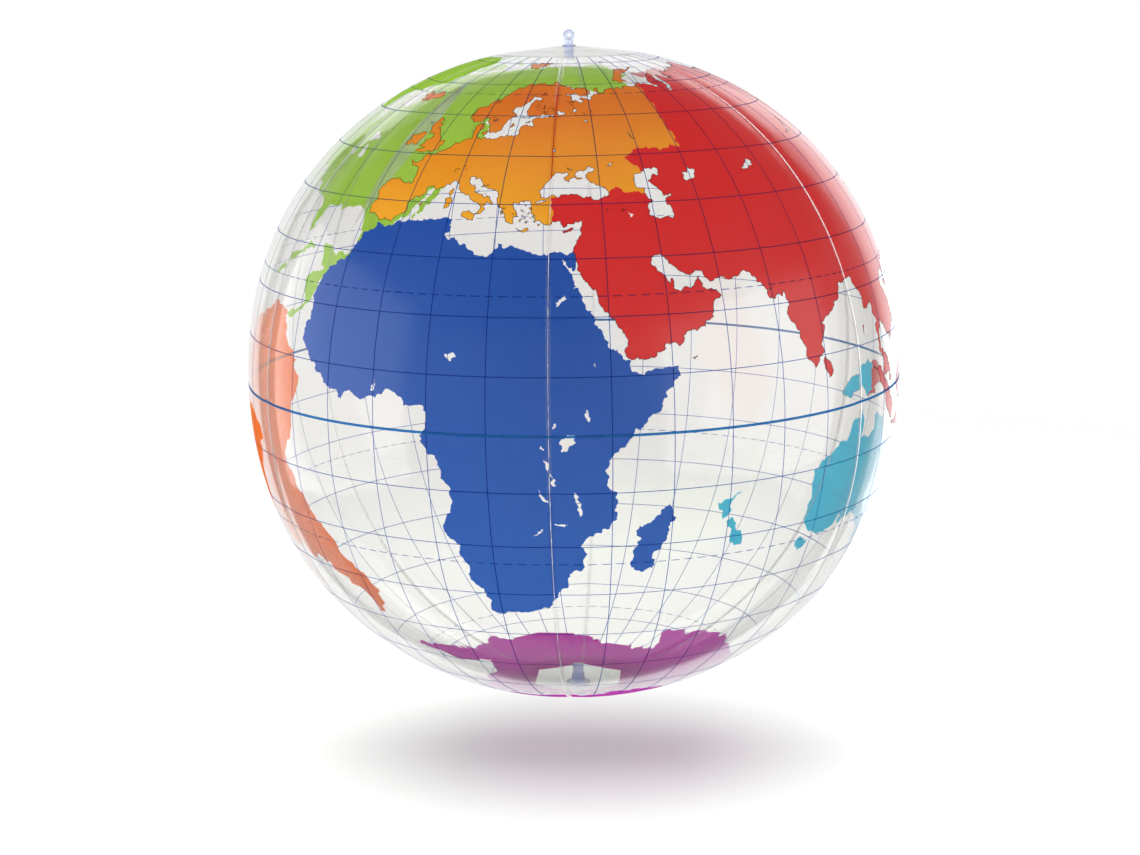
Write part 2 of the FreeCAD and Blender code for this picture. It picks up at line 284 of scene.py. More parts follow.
def skin(longitude, latitude, lift=0.0):
    """Points of the blown-up film, a lift above its outside, from longitude and printed latitude."""
    longitude, latitude = np.broadcast_arrays(longitude, latitude)
    rise = np.radians(latitude * PRINT_SHRINK)
    across = np.abs(np.cos(rise))
    up = np.sin(rise)
    size = (across**SQUARENESS + np.abs(up / POLE_HEIGHT) ** SQUARENESS) ** (-1 / SQUARENESS)
    radius = CROWN * size * across
    cone = np.clip((radius - FLAT_RADIUS) / (PATCH_RADIUS - FLAT_RADIUS), 0, 1)
    height = np.abs(CROWN * size * up)
    height = np.where(radius < PATCH_RADIUS, CROWN + (FOOT - CROWN) * cone, height) * np.sign(up)
    aside = (longitude - SEAM_EAST) % GORE_ANGLE
    aside = np.radians(np.minimum(aside, GORE_ANGLE - aside)) * radius
    dip = SEAM_DIP * np.exp(-((aside / SEAM_REACH) ** 2))
    dip = dip * np.clip((radius - PATCH_RADIUS) / PATCH_RADIUS, 0, 1)
    radius = radius + (lift - dip) * across
    height = height + (lift - dip) * up
    turn = np.radians(longitude - SEAM_EAST)
    return np.stack([radius * np.sin(turn), -radius * np.cos(turn), height], axis=-1)


def skin_normal(longitude, latitude):
    """Outward direction of the film."""
    step = 0.05
    east = skin(longitude + step, latitude) - skin(longitude - step, latitude)
    north = skin(longitude, latitude + step) - skin(longitude, latitude - step)
    normal = np.cross(east, north)
    return normal / np.linalg.norm(normal, axis=-1, keepdims=True)


def tip_latitude(longitude, middle):
    """Printed latitude of the straight cut across a gore's tip."""
    radius = GORE_TIP / np.cos(np.radians(longitude - middle))
    cone = (radius - FLAT_RADIUS) / (PATCH_RADIUS - FLAT_RADIUS)
    flat = (1 - (radius / CROWN) ** SQUARENESS) ** (1 / SQUARENESS) * POLE_HEIGHT * CROWN
    return np.degrees(np.arctan2(flat, radius)) / PRINT_SHRINK


COAST_STEP = 0.28
COAST_WANDER = 0.31
WANDER_GRAIN = 5.3
WANDER_GAP = 3.0
STRAIGHT_GAP = 12
# Corners of each shore as longitude,latitude in degrees; a semicolon ends a shore.
LAND = {
    "asia_red": """
    -5.6,36 -4.4,36.7 -2.2,36.7 -0.8,37.6 0.2,38.7 -0.3,39.5 0.8,40.8 3.2,41.9 3.1,43 4.5,43.4 6.2,43
    7.5,43.8 8.8,44.4 10.2,43.9 10.5,42.9 12.3,41.7 14,40.8 15.7,40 16.1,39 15.7,38 16.6,38.4 17.1,39.1
    16.6,39.7 17.2,40.5 18.4,39.9 18.4,40.4 16.1,41.6 15.5,42 14.2,42.5 13.5,43.6 12.4,44.4 12.5,45.4
    13.6,45.7 13.6,44.9 14.8,45.1 15.6,43.9 17.5,43 19.4,41.9 19.4,40.4 20.7,39 21.3,37.8 21.7,36.8
    22.4,36.5 23.1,36.5 22.9,37.5 24,37.7 23.5,38.6 22.9,39.3 22.6,40.4 23.8,40 24.2,40.7 26,40.8
    26.2,40.1 26.4,39.3 26.4,38.4 27.2,37.8 27.3,36.9 28.3,36.7 29.1,36.3 30.2,36.3 30.6,36.9 32.3,36.1
    34,36.3 34.8,36.8 36.1,36.7 35.8,35.7 35.9,34.6 35,32.8 34.2,31.3 34.9,29.6 35,28.1 36.6,25.9
    38.2,24 39.1,21.3 41.2,18.8 42.6,16.6 42.8,14.9 43.4,12.7 45,12.8 48.7,14 52.2,15.6 55.2,17.5
    57.7,18.9 59.8,22.5 58.6,23.6 57,24 56.4,25.2 56.3,26.3 55.4,25.4 54.2,24.2 52,24 51.3,24.4
    51.6,25.4 51.2,26.1 50.8,25.2 50,26.7 48.8,27.8 48,29.6 48.7,30.3 50.1,30.1 51,28.8 52.6,27.4
    54.8,26.5 56.4,27.1 57,26.9 57.2,25.8 59,25.4 61.6,25.1 66.5,25.4 67.3,24.2 68.8,23 70.3,22.9
    69,22.2 70.2,20.9 72.2,21.2 72.5,22.2 72.9,20.5 72.8,19 73.4,16.5 74.5,14 75.6,11.8 76.4,9.5
    77.5,8.1 78.3,9 79.2,10.2 79.9,10.4 80.2,13.3 80.2,15.5 82.3,16.6 84.5,18.8 86.9,20.6 87.2,21.6
    88.8,21.7 90.5,22.1 91.8,22.4 92.4,20.8 93.8,19.6 94.4,17.5 94.3,16 95.6,15.9 97,17 97.7,15.5
    98.6,13 98.5,10.5 98.3,8 99.5,6.7 100.4,5.6 101.3,3 103.4,1.4 104.2,1.5 103.4,4.2 102.2,6.2
    100.5,7.3 99.3,9.4 99.9,11.8 100.2,13.4 101,12.8 102.2,12.2 103,10.8 104.9,10.2 104.9,8.7 106.7,10.3
    109.1,11.6 109.2,13.8 107.6,16.5 105.8,18.8 106.6,20.3 108.2,21.6 109.7,21.5 110.2,20.4 111.6,21.6
    114.2,22.4 116.8,23.2 119.4,25.3 121.2,28.2 121.9,30.3 121.3,32.2 119.3,34.8 120.6,36.2 122.5,37.2
    119.2,37.3 117.8,39 119.5,39.6 121.3,40.8 121.6,39 124.2,39.9 125.2,38.6 126.6,37.2 126.4,34.6
    129.2,35.2 129.4,37 127.6,39.4 129.7,41.2 132,43.2 135,43.6 138.6,46.8 140.5,50 141.2,53 137.6,54
    135.3,54.7 138.6,57.5 142.6,59.3 148.8,59.5 154.4,59.6 156.8,61.6 160.3,61.8 163.5,62.5 161.5,60.3
    159.8,59.8 156,57.2 155.7,54 156.7,51 158.6,52.8 162,55 162.8,57.8 166,60 170.5,60 177.5,62.5
    177.8,64.8 181.5,65.5 185,64.4 190,66.1 185,67.1 180,68.9 175,69.8 168,69.6 160.5,69.6 153,71
    148,72.3 140,72.5 132.5,71.6 129,71 127.5,73.4 122.5,73 115,73.7 112,74.5 109,76.4 104.5,77.7
    100,76.4 93,76 86,74.8 80.7,73.6 79,72.2 82.5,71.8 78,71 74.5,72.7 73.8,71 74.4,68.8 72.8,67
    71.8,66.4 73.5,68.5 71.5,71 72.6,72.9 69.5,72.9 66.8,70.8 67.3,69 68.8,68.3 66,68.9 64.6,69.3
    60.6,69.8 59.2,69 60.8,68.6 57.5,68.6 54,68.9 53.8,68.1 50,68 46.5,67.8 46.3,66.7 44.4,66.5
    44.2,68.3 43.4,68.7 43.8,66.3 42.2,66.4 40,64.6 37.2,65 38.5,64.2 37,63.9 34.8,64.6 34.5,66
    32.6,67.1 35,66.5 38.3,66 41,66.7 41,67.7 37,69 33,69.5 31,70.4 28,71.1 24,71 20.5,70.1 17.5,69.2
    14.5,68 12.5,66.2 11,64.7 8.5,63.4 5.2,62 5,59.2 6.8,58 8.3,58.2 10.4,59.4 11.4,58.9 12.4,56.5
    13,55.4 14.3,55.5 16.1,56.2 16.6,58.6 18.8,59.8 17.2,60.9 17.5,62.3 20.5,63.7 22.2,65.6 24.5,65.9
    25.3,65.1 22,63.3 21.4,61.5 22.8,59.9 26,60.4 30,60 27.8,59.5 23.7,59.2 23.6,58.4 24.4,57.2
    22.6,57.6 21,57 21,55.4 20,54.6 18.6,54.7 16,54.3 14.3,53.9 12,54.2 10.9,54 9.6,54.9 10,55.8
    10.8,56.4 10.6,57.7 8.3,56.9 8.2,55.5 8.8,54 7,53.5 4.9,53 3.7,51.5 1.6,50.7 0.2,49.6 -1.6,49.6
    -1.5,48.7 -4.6,48.4 -2.3,47.2 -1.2,45.8 -1.4,43.5 -8.2,43.7 -9,42.5 -8.7,41 -9.4,38.8 -8.9,37.1
    -7,37.1 -6.2,36.5;
    32.4,35 33.4,35.3 34.5,35.6 33.9,34.9 32.7,34.6; 79.9,9.7 81.2,8.6 81.8,7 80.6,6 79.9,7.3;
    53.3,12.5 54.4,12.7 53.8,12.2; 92.7,13.5 93,13.2 92.7,11.6;
    95.3,5.6 97.6,5.2 100.5,2.2 103.6,-1 106,-3.2 105.7,-5.8 104.2,-5.6 102,-3.8 98.7,1.6;
    109,1.6 111.3,2.5 113.3,3.3 117,6.9 119,5.3 117.7,2.5 118.6,0.9 116.5,-3.6 114.5,-4 111.6,-3.3
    110,-1.5;
    105.3,-6.6 108.5,-6.6 112.6,-6.9 114.4,-7.8 114.2,-8.6 110,-8.1 106.5,-7.4;
    119.5,-5.5 119.8,0 121,1.2 125,1.5 120.6,0.5 121.3,-0.9 123.3,-0.9 121.9,-2 122.6,-4.6 121,-2.9;
    131,-0.8 134,-0.8 135,-3.3 138,-1.7 141,-2.6 145.5,-4.5 147.8,-6.3 150.8,-10.4 147,-9.5 144.5,-7.7
    141,-9.1 138,-8.3 138.7,-6.8 135,-4.4 133,-4;
    120.5,18.4 122.2,18.4 121.6,15 124,12.7 121,13.7 120,15.6;
    122,7 125.4,9.7 126.5,7.4 125.4,5.7 123.8,7.4; 120.1,23 121.6,25.2 120.9,22;
    108.7,19.3 110.7,20 109.6,18.3;
    131,34 133,35.6 136,35.8 137.2,37.3 139.6,38.6 140.4,41.3 142,39.6 140.8,35.8 138.8,34.8 136,33.6
    135,34.6;
    140,41.6 141.8,45.4 145.3,43.4 143.2,42; 129.8,33.4 131.9,33.5 131.2,31.3 130.1,32;
    142,54.1 143,52.5 143.2,49.3 144.6,49 142.9,47.2 142.2,46 141.9,50""",
    "europe_orange": """
    -5.6,50.1 -3.6,50.3 -1.2,50.7 1.3,51.2 0.7,51.6 1.7,52.7 0.3,53.1 -0.2,54 -1.3,54.8 -2,55.8
    -3.2,56.1 -2,57.5 -3.9,57.8 -3.1,58.6 -5,58.6 -5.7,57 -4.8,55.5 -5,54.8 -3.2,54.9 -3,53.6 -4.6,53.2
    -4.1,52.4 -5.2,51.8 -3,51.5 -4.3,51.1;
    -10,51.6 -6.4,52.2 -6,53.6 -5.6,54.6 -7.3,55.3 -8.5,54.4 -10,54.2 -9.2,53.2 -10,52.2;
    -22.7,63.8 -18.9,63.4 -15,64.3 -13.6,65.1 -15,66.4 -18,66 -20.4,65.7 -22.6,66.5 -24.2,65.5 -22,64.6;
    11,79 14,77.5 16.5,76.6 19,78.2 25,79.6 21,80.4 13,79.9;
    51.8,70.9 55.4,70.7 57.4,70.8 55.9,72.3 57.8,74 62,75.2 68.6,76.6 66.5,77 60,76.3 55.7,75 53.8,73.2
    51.9,71.8;
    12.5,38 15.6,38.2 15.1,36.8 12.8,37.5; 8.4,39 8.2,40.8 9.3,41.2 9.8,40.2 9.4,39.2;
    8.7,42.3 9.4,43 9.5,42 9.1,41.4; 23.6,35.5 26.2,35.2 24.8,34.9; 2.4,39.6 3.2,39.9 3.1,39.3;
    11,55.6 12.5,56 12.3,55.1 11.2,55.1; 18.1,57.3 19.1,57.9 18.3,56.9; 21.9,58.3 23.2,58.7 22.3,58;
    25.9,39.4 26.5,39.2 26.2,39; 25.9,38.5 26.2,38.4 26,38.2; 26.6,37.8 27,37.8 26.8,37.6;
    27.8,36.4 28.2,36.3 27.9,36; 25,37.6 25.4,37.5 25.2,37.2; 24.6,38.1 25,37.9 24.8,37.7;
    24.2,37.1 24.6,37 24.4,36.7; 25.3,36.7 25.7,36.6 25.5,36.4; 25,40 25.4,39.9 25.2,39.7;
    24.5,40.8 24.8,40.7 24.6,40.5; 24.3,39 24.7,38.9 24.5,38.7; 20.4,38.4 20.8,38.2 20.5,38;
    19.7,39.8 20.1,39.5 19.9,39.3; 26.9,36.9 27.3,36.8 27.1,36.6""",
    "africa_blue": """
    34.9,29.6 34.3,27.8 33.3,28.7 32.5,30 33.6,27.8 34.2,26.4 35.5,24 35.7,22.8 37.2,21 37.4,18.9
    38.6,17.9 39.6,15.4 41.2,14.6 43.2,12.4 43,11.6 44.3,10.4 47,11.1 51.2,11.9 51,10.4 50,8 48,4.4
    45.5,2 42.7,-0.8 41.2,-2.2 39.8,-3.8 38.8,-6 39.5,-7 39.6,-9.3 40.6,-11 40.7,-14.6 39.6,-16.4
    37,-17.9 34.9,-19.9 35.5,-22 35.5,-23.9 32.9,-25.4 32.7,-28 30.8,-30.6 28,-32.9 25.7,-34 22.3,-34.1
    20,-34.8 18.4,-34.2 18,-32.6 18.2,-31.5 16.5,-28.6 15.2,-26.8 14.5,-22.7 12.6,-19 11.8,-16.8
    12.3,-15.2 13.7,-12.4 13.3,-9 12.1,-6 9.6,-2.4 8.8,-0.7 9.8,1.2 9.5,3.8 8.6,4.7 6,4.3 4.4,6.3 1.2,6
    -2,4.8 -4,5.2 -7.6,4.4 -9.5,5.6 -13,8 -13.6,9.6 -16.6,12.2 -17.5,14.7 -16.3,17 -16.3,19.2 -17,21
    -15.9,23.8 -14.8,25.8 -12.8,27.9 -10,29.5 -9.7,31 -8.5,33.2 -6.6,34.2 -5.9,35.8 -4.8,35.2 -2,35.2
    0,35.9 1.5,36.6 5,36.8 9.8,37.3 11,37 10.5,35.8 11.1,35 10.1,34 11.2,33.2 14.5,32.5 15.4,31.5
    19,30.3 20,31.5 20.6,32.7 23,32.5 25,31.7 29,30.9 31,31.5 32.4,31.2 34.2,31.3;
    49.2,-12 50.1,-14.5 50.4,-15.7 49.6,-16 49.3,-18 48.4,-21 47.2,-24.7 45.5,-25.5 44,-25 43.4,-23
    43.6,-21.5 44.4,-19.9 44,-18 44.4,-16.3 46.2,-15.8 47.8,-14.4 48.6,-13""",
    "oceania_cyan": """
    113.7,-22.5 113.6,-26 115.7,-32 115,-34.2 118,-35 123.5,-34 126,-32.3 131,-31.5 134,-32.7
    135.7,-34.8 137.8,-33 138,-35.6 140.5,-38 143.5,-38.8 146.3,-39 150,-37.4 151.5,-33.3 153.2,-29
    153,-25.5 150.8,-23.3 148.5,-20.2 146,-18.8 145.3,-15 143.5,-14 142.5,-10.8 141.6,-13.5 140.8,-17.4
    138.3,-16.7 135.7,-15 136.7,-12.2 132.7,-11.5 130.7,-12.5 129.5,-15 126,-14 124,-16.3 122.2,-18
    119,-20;
    144.8,-40.8 148.2,-40.8 147.8,-43.2 146,-43.5;
    172.8,-34.5 175.5,-36.7 178.4,-37.8 177,-39.5 175.3,-41.6 173.8,-39.3 174.7,-37.5;
    172.7,-40.6 174.2,-41.7 171.4,-44.2 170.6,-46 168.3,-46.6 166.6,-45.8 170.4,-43.1""",
    "south_orange": """
    -77.4,8.6 -75.5,10.7 -71.7,12.3 -68,11 -61.8,10.7 -60,8.4 -57,6 -52,4.8 -50,1.5 -48,-0.7 -44.5,-2.7
    -40,-2.8 -37,-4.8 -35.2,-5.5 -34.8,-8 -37,-11 -39,-13.5 -39.2,-17.5 -40.8,-21 -42,-23 -45,-23.6
    -48.5,-26 -48.7,-28.5 -51,-31 -53.4,-33.7 -56,-34.8 -58.3,-34 -57,-36.3 -59,-38.7 -62.2,-39
    -62.5,-40.9 -65,-41 -63.7,-42.7 -67.4,-46 -65.8,-47.2 -69,-50.5 -68.5,-52.5 -65.2,-54.7 -68,-55.6
    -72,-53.5 -75,-52 -75.5,-48 -74.5,-44 -72.8,-42 -73.7,-38 -71.5,-33 -71.5,-29 -70.3,-25 -70.2,-18.4
    -76,-14 -79,-8.5 -81.3,-5 -80,-3 -81,-1.5 -80,0.8 -77.5,3.5 -77.4,6.5""",
    "north_green": """
    -168,65.6 -162,66.5 -166.5,68.3 -156.5,71.3 -150,70.5 -141,69.7 -135,69.4 -128,70.2 -124,69.5
    -115,68.4 -108,68 -101,67.8 -95,68.2 -94,71.8 -90,69 -85,69.7 -81.5,68.5 -83,66.3 -87,65 -91,63.5
    -94.3,61 -94.5,58.8 -92.5,57 -88,56.5 -82.3,55.2 -82,53 -79,51.5 -78.7,54 -76.8,56.5 -78.5,59
    -77.5,62.4 -73.5,62.3 -69.6,61 -69,59 -66,58.8 -64.5,60.3 -61.5,57 -57.5,54.5 -55.8,52.3 -60,50.3
    -66.5,50.2 -70,47 -64.5,49 -65,47.8 -64,46.2 -61,45.5 -66,43.5 -66,45 -67.5,44.5 -70.5,43.3 -70,41.8
    -74,40.6 -74.3,39.4 -75.9,37 -75.8,35.4 -78,33.9 -81,32 -81.4,30.3 -80.1,27 -80.4,25.3 -81.8,26.2
    -82.8,28 -84,30 -86,30.4 -89.5,30.2 -89.3,29.1 -91.5,29.4 -94.7,29.4 -97.3,27.8 -97.7,24 -97.6,22
    -96.2,19.2 -94.5,18.2 -91.8,18.6 -90.6,19.8 -90.4,21 -87,21.5 -87.8,18.5 -88.6,16 -86,15.9 -83.3,15
    -83.6,11.5 -82.2,9.1 -79.7,9.5 -77.4,8.6 -78.3,7.6 -80,7.4 -83,8.3 -85.7,10.2 -87.6,12.9 -91.5,14
    -94.3,16.2 -96.5,15.7 -101.5,17.6 -105.3,19.8 -105.6,21.5 -108.5,25 -112.2,29 -114.7,31.7 -113,28.5
    -110,24.2 -109.5,23 -112,25.5 -114.5,28 -116,30.5 -117.2,32.7 -120.6,34.5 -122.5,37.5 -124.3,40.3
    -124,43.5 -124.6,48.2 -122.8,49 -127.5,51 -130.3,54.3 -133.5,58 -140,59.8 -146,60.8 -151.5,59.3
    -154.5,58 -160,55.8 -164.8,54.7 -158,58.5 -162,59 -165.5,61.5 -164.5,63.2 -161,64.3 -166,64.6;
    -61.5,66.5 -68,70.3 -78,73 -85,73.7 -89,71 -82,69.8 -73,68 -72.5,65.5 -78,64.5 -72,62.8 -66,62
    -68,63.7 -65,65;
    -105,69.2 -116,69 -117.5,71 -114,73 -105,73.5 -101.5,70;
    -62,82.5 -78,83 -92,81.5 -88,79 -80,76.3 -78,77.5 -65,81; -125,72 -120,74.4 -123,71.2;
    -59.3,47.7 -57,51.4 -55.5,50 -53,47 -55.5,47; -84.8,21.9 -82,23.1 -77,21.6 -74.2,20.2 -77.5,19.9;
    -74.4,18.5 -73,19.9 -68.5,18.6;
    -45,60 -43,60 -40,65 -32,68 -22,70.5 -20,74 -18,77 -17,80 -30,83.3 -45,82.5 -60,81.5 -66,80 -72,78.3
    -69,76 -58,75.3 -54,71 -52,68 -53.5,66 -51,63 -48,61""",
    "antarctic_magenta": """
    -180,-78.4 -165,-78.4 -157,-77.2 -148,-76 -140,-75 -125,-74 -110,-74.5 -100,-72.5 -90,-73 -78,-73
    -73,-70 -67,-67 -62,-64.8 -57.5,-63.2 -61,-66 -63,-69 -61,-74 -70,-76.5 -78,-78 -60,-81 -45,-78.5
    -30,-79 -25,-76 -15,-72.5 -8,-70.5 0,-69.8 10,-70 20,-70 33,-68.8 40,-69 50,-66.5 57,-66.3 65,-67.7
    70,-68.5 72,-70.3 78,-68.5 88,-66.8 95,-66.5 105,-66 113,-66 125,-66.5 135,-66.1 145,-67 155,-69
    165,-70.5 170,-71.6 167,-74 163,-77.5 170,-78 180,-78.4 180,-96 -180,-96""",
}
RECOLOURED = [
    ("asia_red", "europe_orange", """
    -12,34 30,34 30,41.6 38,43 41,43.4 44.3,42.8 46.5,42 48.4,41.7 50,43 49.2,46.4 48,47.6 46.8,48.8
    46.6,49.7 47.9,50.3 49.5,51.3 51.2,51.4 53,51.1 55.5,50.5 57.8,51.1 60.9,51.1 60.4,52.4 61,53.6
    60.9,54.8 60,56 60.3,58 60.4,62 60.5,66 60.8,69 60.6,72 -12,72"""),
    ("asia_red", "oceania_cyan", "141,0 155,0 155,-12 141,-12"),
]
WATER = """
    28,41.4 29.2,41.2 31.4,41.3 33,42 35,42 36.3,41.3 38.3,41 40,41 41.6,41.7 41.3,42.6 39.8,43.6
    38,44.5 37.2,45.3 38.3,46.5 39.2,47.2 37.2,46.9 35,46.2 35.2,45.4 36.5,45.1 35.3,45 33.6,44.4
    32.6,45.3 33.6,46.1 31.8,46.6 30.7,46.3 29.7,45.2 28.7,44 27.7,42.5;
    27,40.5 28.9,41 29.2,40.6 27.5,40.3;
    47.2,44.6 48.6,45.8 51,46.9 53,46.8 53,45.4 51.2,45.2 51,44.6 50.3,44.4 51.7,43 52.6,42 52.8,41
    54.6,41.6 54.3,41 53.1,40.6 52.9,40 53.8,39 53.9,37 51,36.7 49,37.6 49,39 50.3,40.3 49.2,41.2
    47.7,42.8;
    58.5,45.5 60.2,46.6 61.6,46.2 61,44.4 59,43.8; 74,45.6 76,46.6 79,46.8 75.6,45.2;
    104,51.5 107,52.8 109.8,55.7 108.6,53.4 106,51.8; 30.8,60.3 32.8,60.4 32.6,61 31,61.6 30.2,61;
    34.8,61.2 36.1,61.2 35.2,62.5; 12.6,58.7 14,59.1 13.2,58.5; 37.8,58.3 38.9,58.2 38.4,59;
    48.5,55.4 49.2,54 49.8,53.6 49.2,54.9; 42,47.6 43.6,48.5 42.4,47.5; 33.2,47.6 34.6,46.9 33.6,47.1;
    29.8,51.8 30.6,51.6 30.6,51; 31.7,-0.9 33,0.4 34.3,0.2 34,-1.2 33,-2.4 31.9,-2.5;
    29.3,-3.5 29.5,-5.5 30.7,-8.7 31.1,-8.6 30.3,-6.6;
    33.9,-9.7 34.3,-11.8 34.7,-14.2 35.1,-13.8 34.8,-11.6; 35.9,4.6 36.3,3.6 36.5,2.5 36.1,2.7;
    13,13.6 14.4,13.9 15,13.2 14.1,12.4; -0.6,6.5 0.1,8.5 0.3,7 0,6.3; 28.6,-2 29.2,-2.4 28.9,-1.5;
    28.2,-9 29.8,-11.6 28.6,-10.7; 27,-17.6 28.8,-16.5 27.6,-17.7; 30.6,-15.6 32.8,-15.6 31.6,-15.9;
    30.4,1.3 31.2,2.3 30.9,1.4; 37.1,11.9 37.5,12.4 37.6,11.7; 32.7,23.8 31.4,21.8 33.1,23.1;
    44.8,38.3 45.9,37.8 45.4,37.3; -90,47 -88,48.6 -84.6,46.6; -87.8,42 -86.4,45.6 -86.3,42;
    -83.5,43.6 -81,45.6 -80.2,44.6 -81.8,43"""


def wander(start, end):
    """Points between two of a coast's corners, which stray as a real shore does."""
    low, high = sorted((start, end))
    gap = math.dist(low, high)
    if gap < COAST_STEP or gap > STRAIGHT_GAP:
        return [start]
    middle = Vector(((low[0] + high[0]) / 2, (low[1] + high[1]) / 2, 0))
    stray = noise.noise(middle * WANDER_GRAIN) * COAST_WANDER * min(gap, WANDER_GAP) * 2
    bent = (middle.x - (high[1] - low[1]) / gap * stray, middle.y + (high[0] - low[0]) / gap * stray)
    return wander(start, bent) + wander(bent, end)


def shore(text):
    """A closed coast line as an array, with its wandering points, from words such as 12.5,38."""
    corners = [tuple(float(n) for n in word.split(",")) for word in text.split()]
    line = []
    for n, corner in enumerate(corners):
        line += wander(corner, corners[(n + 1) % len(corners)])
    return np.array(line)


def inside(points, line):
    """True for each point that a closed line goes round."""
    x, y = points[:, :1], points[:, 1:]
    x1, y1 = line[:, 0], line[:, 1]
    x2, y2 = np.roll(x1, -1), np.roll(y1, -1)
    rises = (y1 > y) != (y2 > y)
    with np.errstate(divide="ignore", invalid="ignore"):
        crossing = x1 + (y - y1) / (y2 - y1) * (x2 - x1)
    return (rises & (x < crossing)).sum(axis=1) % 2 == 1


COASTS = {ink: [shore(text) for text in texts.split(";")] for ink, texts in LAND.items()}
BORDERS = [(old, new, shore(text)) for old, new, text in RECOLOURED]
LAKES = [shore(text) for text in WATER.split(";")]
INKS = list(LAND)
GRID = 2.0
GRID_TOP = 86.0
ACROSS = [0.0, 0.6, 1.3, 2.2, 3.2, *np.arange(4.5, 56.0, GRID), 56.8, 57.8, 58.7, 59.4]
CLEAR = -1
PRINT_GAP = 0.03
GAP_WANDER = 0.09
GAP_LEAST = 0.006
GAP_STEPS = np.arange(-90.0, 90.5, 0.4)


def print_gap(seam):
    """How far short of a seam the ink stops at each step up it, in degrees: now more, now less."""
    wobble = [noise.noise((step * 0.55, seam * 0.7, 3.0)) for step in GAP_STEPS]
    fine = [noise.noise((step * 2.3, seam * 0.7, 9.0)) for step in GAP_STEPS]
    return np.maximum(PRINT_GAP + GAP_WANDER * (np.array(wobble) + 0.5 * np.array(fine)), GAP_LEAST)


def wrapped(line, west):
    """The copies of a line, a whole turn apart, that reach into a gore."""
    for turn in (-360, 0, 360):
        moved = line + [turn, 0]
        if moved[:, 0].max() > west and moved[:, 0].min() < west + GORE_ANGLE:
            yield moved


def gore_rim(west):
    """Outline of a gore's flat leaf in longitude and printed latitude."""
    middle, east = west + GORE_ANGLE / 2, west + GORE_ANGLE
    across = np.arange(west, east, GRID)
    back = across[::-1] + GRID
    top = tip_latitude(across, middle)
    side = np.arange(-math.floor(top[0] / GRID) * GRID, top[0], GRID)
    longitudes = [across, [east], np.full(len(side), east), back, [west], np.full(len(side), west)]
    latitudes = [-top, [-top[0]], side, tip_latitude(back, middle), [top[0]], side[::-1]]
    return np.stack([np.concatenate(longitudes), np.concatenate(latitudes)], axis=1)


def leaf_mesh(west):
    """Triangles of a gore's flat leaf, and the number of the ink on each, or CLEAR."""
    rim = gore_rim(west)
    lines = [rim]
    west_gap, east_gap = print_gap(west), print_gap((west + GORE_ANGLE + 0.5) % 360)
    lines.append(np.stack([west + west_gap, GAP_STEPS], axis=1))
    lines.append(np.stack([west + GORE_ANGLE - east_gap, GAP_STEPS], axis=1))
    open_lines = {1, 2}
    for group in [*COASTS.values(), [line for _, _, line in BORDERS], LAKES]:
        for line in group:
            lines += wrapped(line, west)
    points, edges = [], []
    for n, line in enumerate(lines):
        first = len(points)
        points += [Vector(p) for p in line]
        edges += [(first + k, first + k + 1) for k in range(len(line) - 1)]
        if n not in open_lines:
            edges.append((first + len(line) - 1, first))
    heights = np.arange(-GRID_TOP, GRID_TOP + GRID / 4, GRID)
    points += [Vector((west + x, y)) for x in ACROSS[1:] for y in heights]
    flat, _, faces, *_ = delaunay_2d_cdt(points, edges, [], 0, 1e-5)
    flat = np.array([tuple(p) for p in flat])
    faces = np.array(faces)
    centre = flat[faces].mean(axis=1)
    kept = inside(centre, rim)
    faces, centre = faces[kept], centre[kept]
    ink = np.full(len(faces), CLEAR)
    for n, name in enumerate(INKS):
        for line in COASTS[name]:
            for moved in wrapped(line, west):
                ink[inside(centre, moved)] = n
    for old, new, line in BORDERS:
        for moved in wrapped(line, west):
            ink[inside(centre, moved) & (ink == INKS.index(old))] = INKS.index(new)
    for line in LAKES:
        for moved in wrapped(line, west):
            ink[inside(centre, moved)] = CLEAR
    aside = centre[:, 0] - west
    bare = aside < np.interp(centre[:, 1], GAP_STEPS, west_gap)
    bare |= GORE_ANGLE - aside < np.interp(centre[:, 1], GAP_STEPS, east_gap)
    ink[bare] = CLEAR
    return flat, faces, ink


def film_shell(name, flat, faces, slots, materials):
    """Closed sheet of film from flat triangles: an outside, an inside and the cut edge between."""
    used, faces = np.unique(faces, return_inverse=True)
    flat, faces = flat[used], faces.reshape(-1, 3)
    a, b, c = (flat[faces[:, k]] for k in range(3))
    turned = (b[:, 0] - a[:, 0]) * (c[:, 1] - a[:, 1]) < (b[:, 1] - a[:, 1]) * (c[:, 0] - a[:, 0])
    faces[turned] = faces[turned][:, ::-1]
    count = len(flat)
    lon, lat = flat[:, 0], flat[:, 1]
    points = np.concatenate([skin(lon, lat), skin(lon, lat, -FILM)])
    sides = np.concatenate([faces[:, [k, (k + 1) % 3]] for k in range(3)])
    directed = {tuple(side) for side in sides.tolist()}
    rim = [(i, j) for i, j in directed if (j, i) not in directed]
    all_faces = faces.tolist() + (faces[:, ::-1] + count).tolist()
    all_faces += [(j, i, i + count, j + count) for i, j in sorted(rim)]
    mesh = bpy.data.meshes.new(name)
    mesh.from_pydata(points.tolist(), [], all_faces)
    for material in materials:
        mesh.materials.append(material)
    index = np.concatenate([slots, np.ones(len(all_faces) - len(slots), int)])
    mesh.polygons.foreach_set("material_index", index.astype(np.int32))
    normal = skin_normal(lon, lat)
    mesh.polygons.foreach_set("use_smooth", np.ones(len(all_faces), bool))
    mesh.normals_split_custom_set_from_vertices(np.concatenate([normal, -normal]).tolist())
    return placed(name, mesh)


def grain_of(finish, scale, detail, roughness=0.5):
    """Noise that keeps its place on the piece."""
    spot = finish.add("TexCoord", output="Object")
    look = {"Vector": spot, "Scale": scale, "Detail": detail, "Roughness": roughness}
    return finish.add("TexNoise", look)


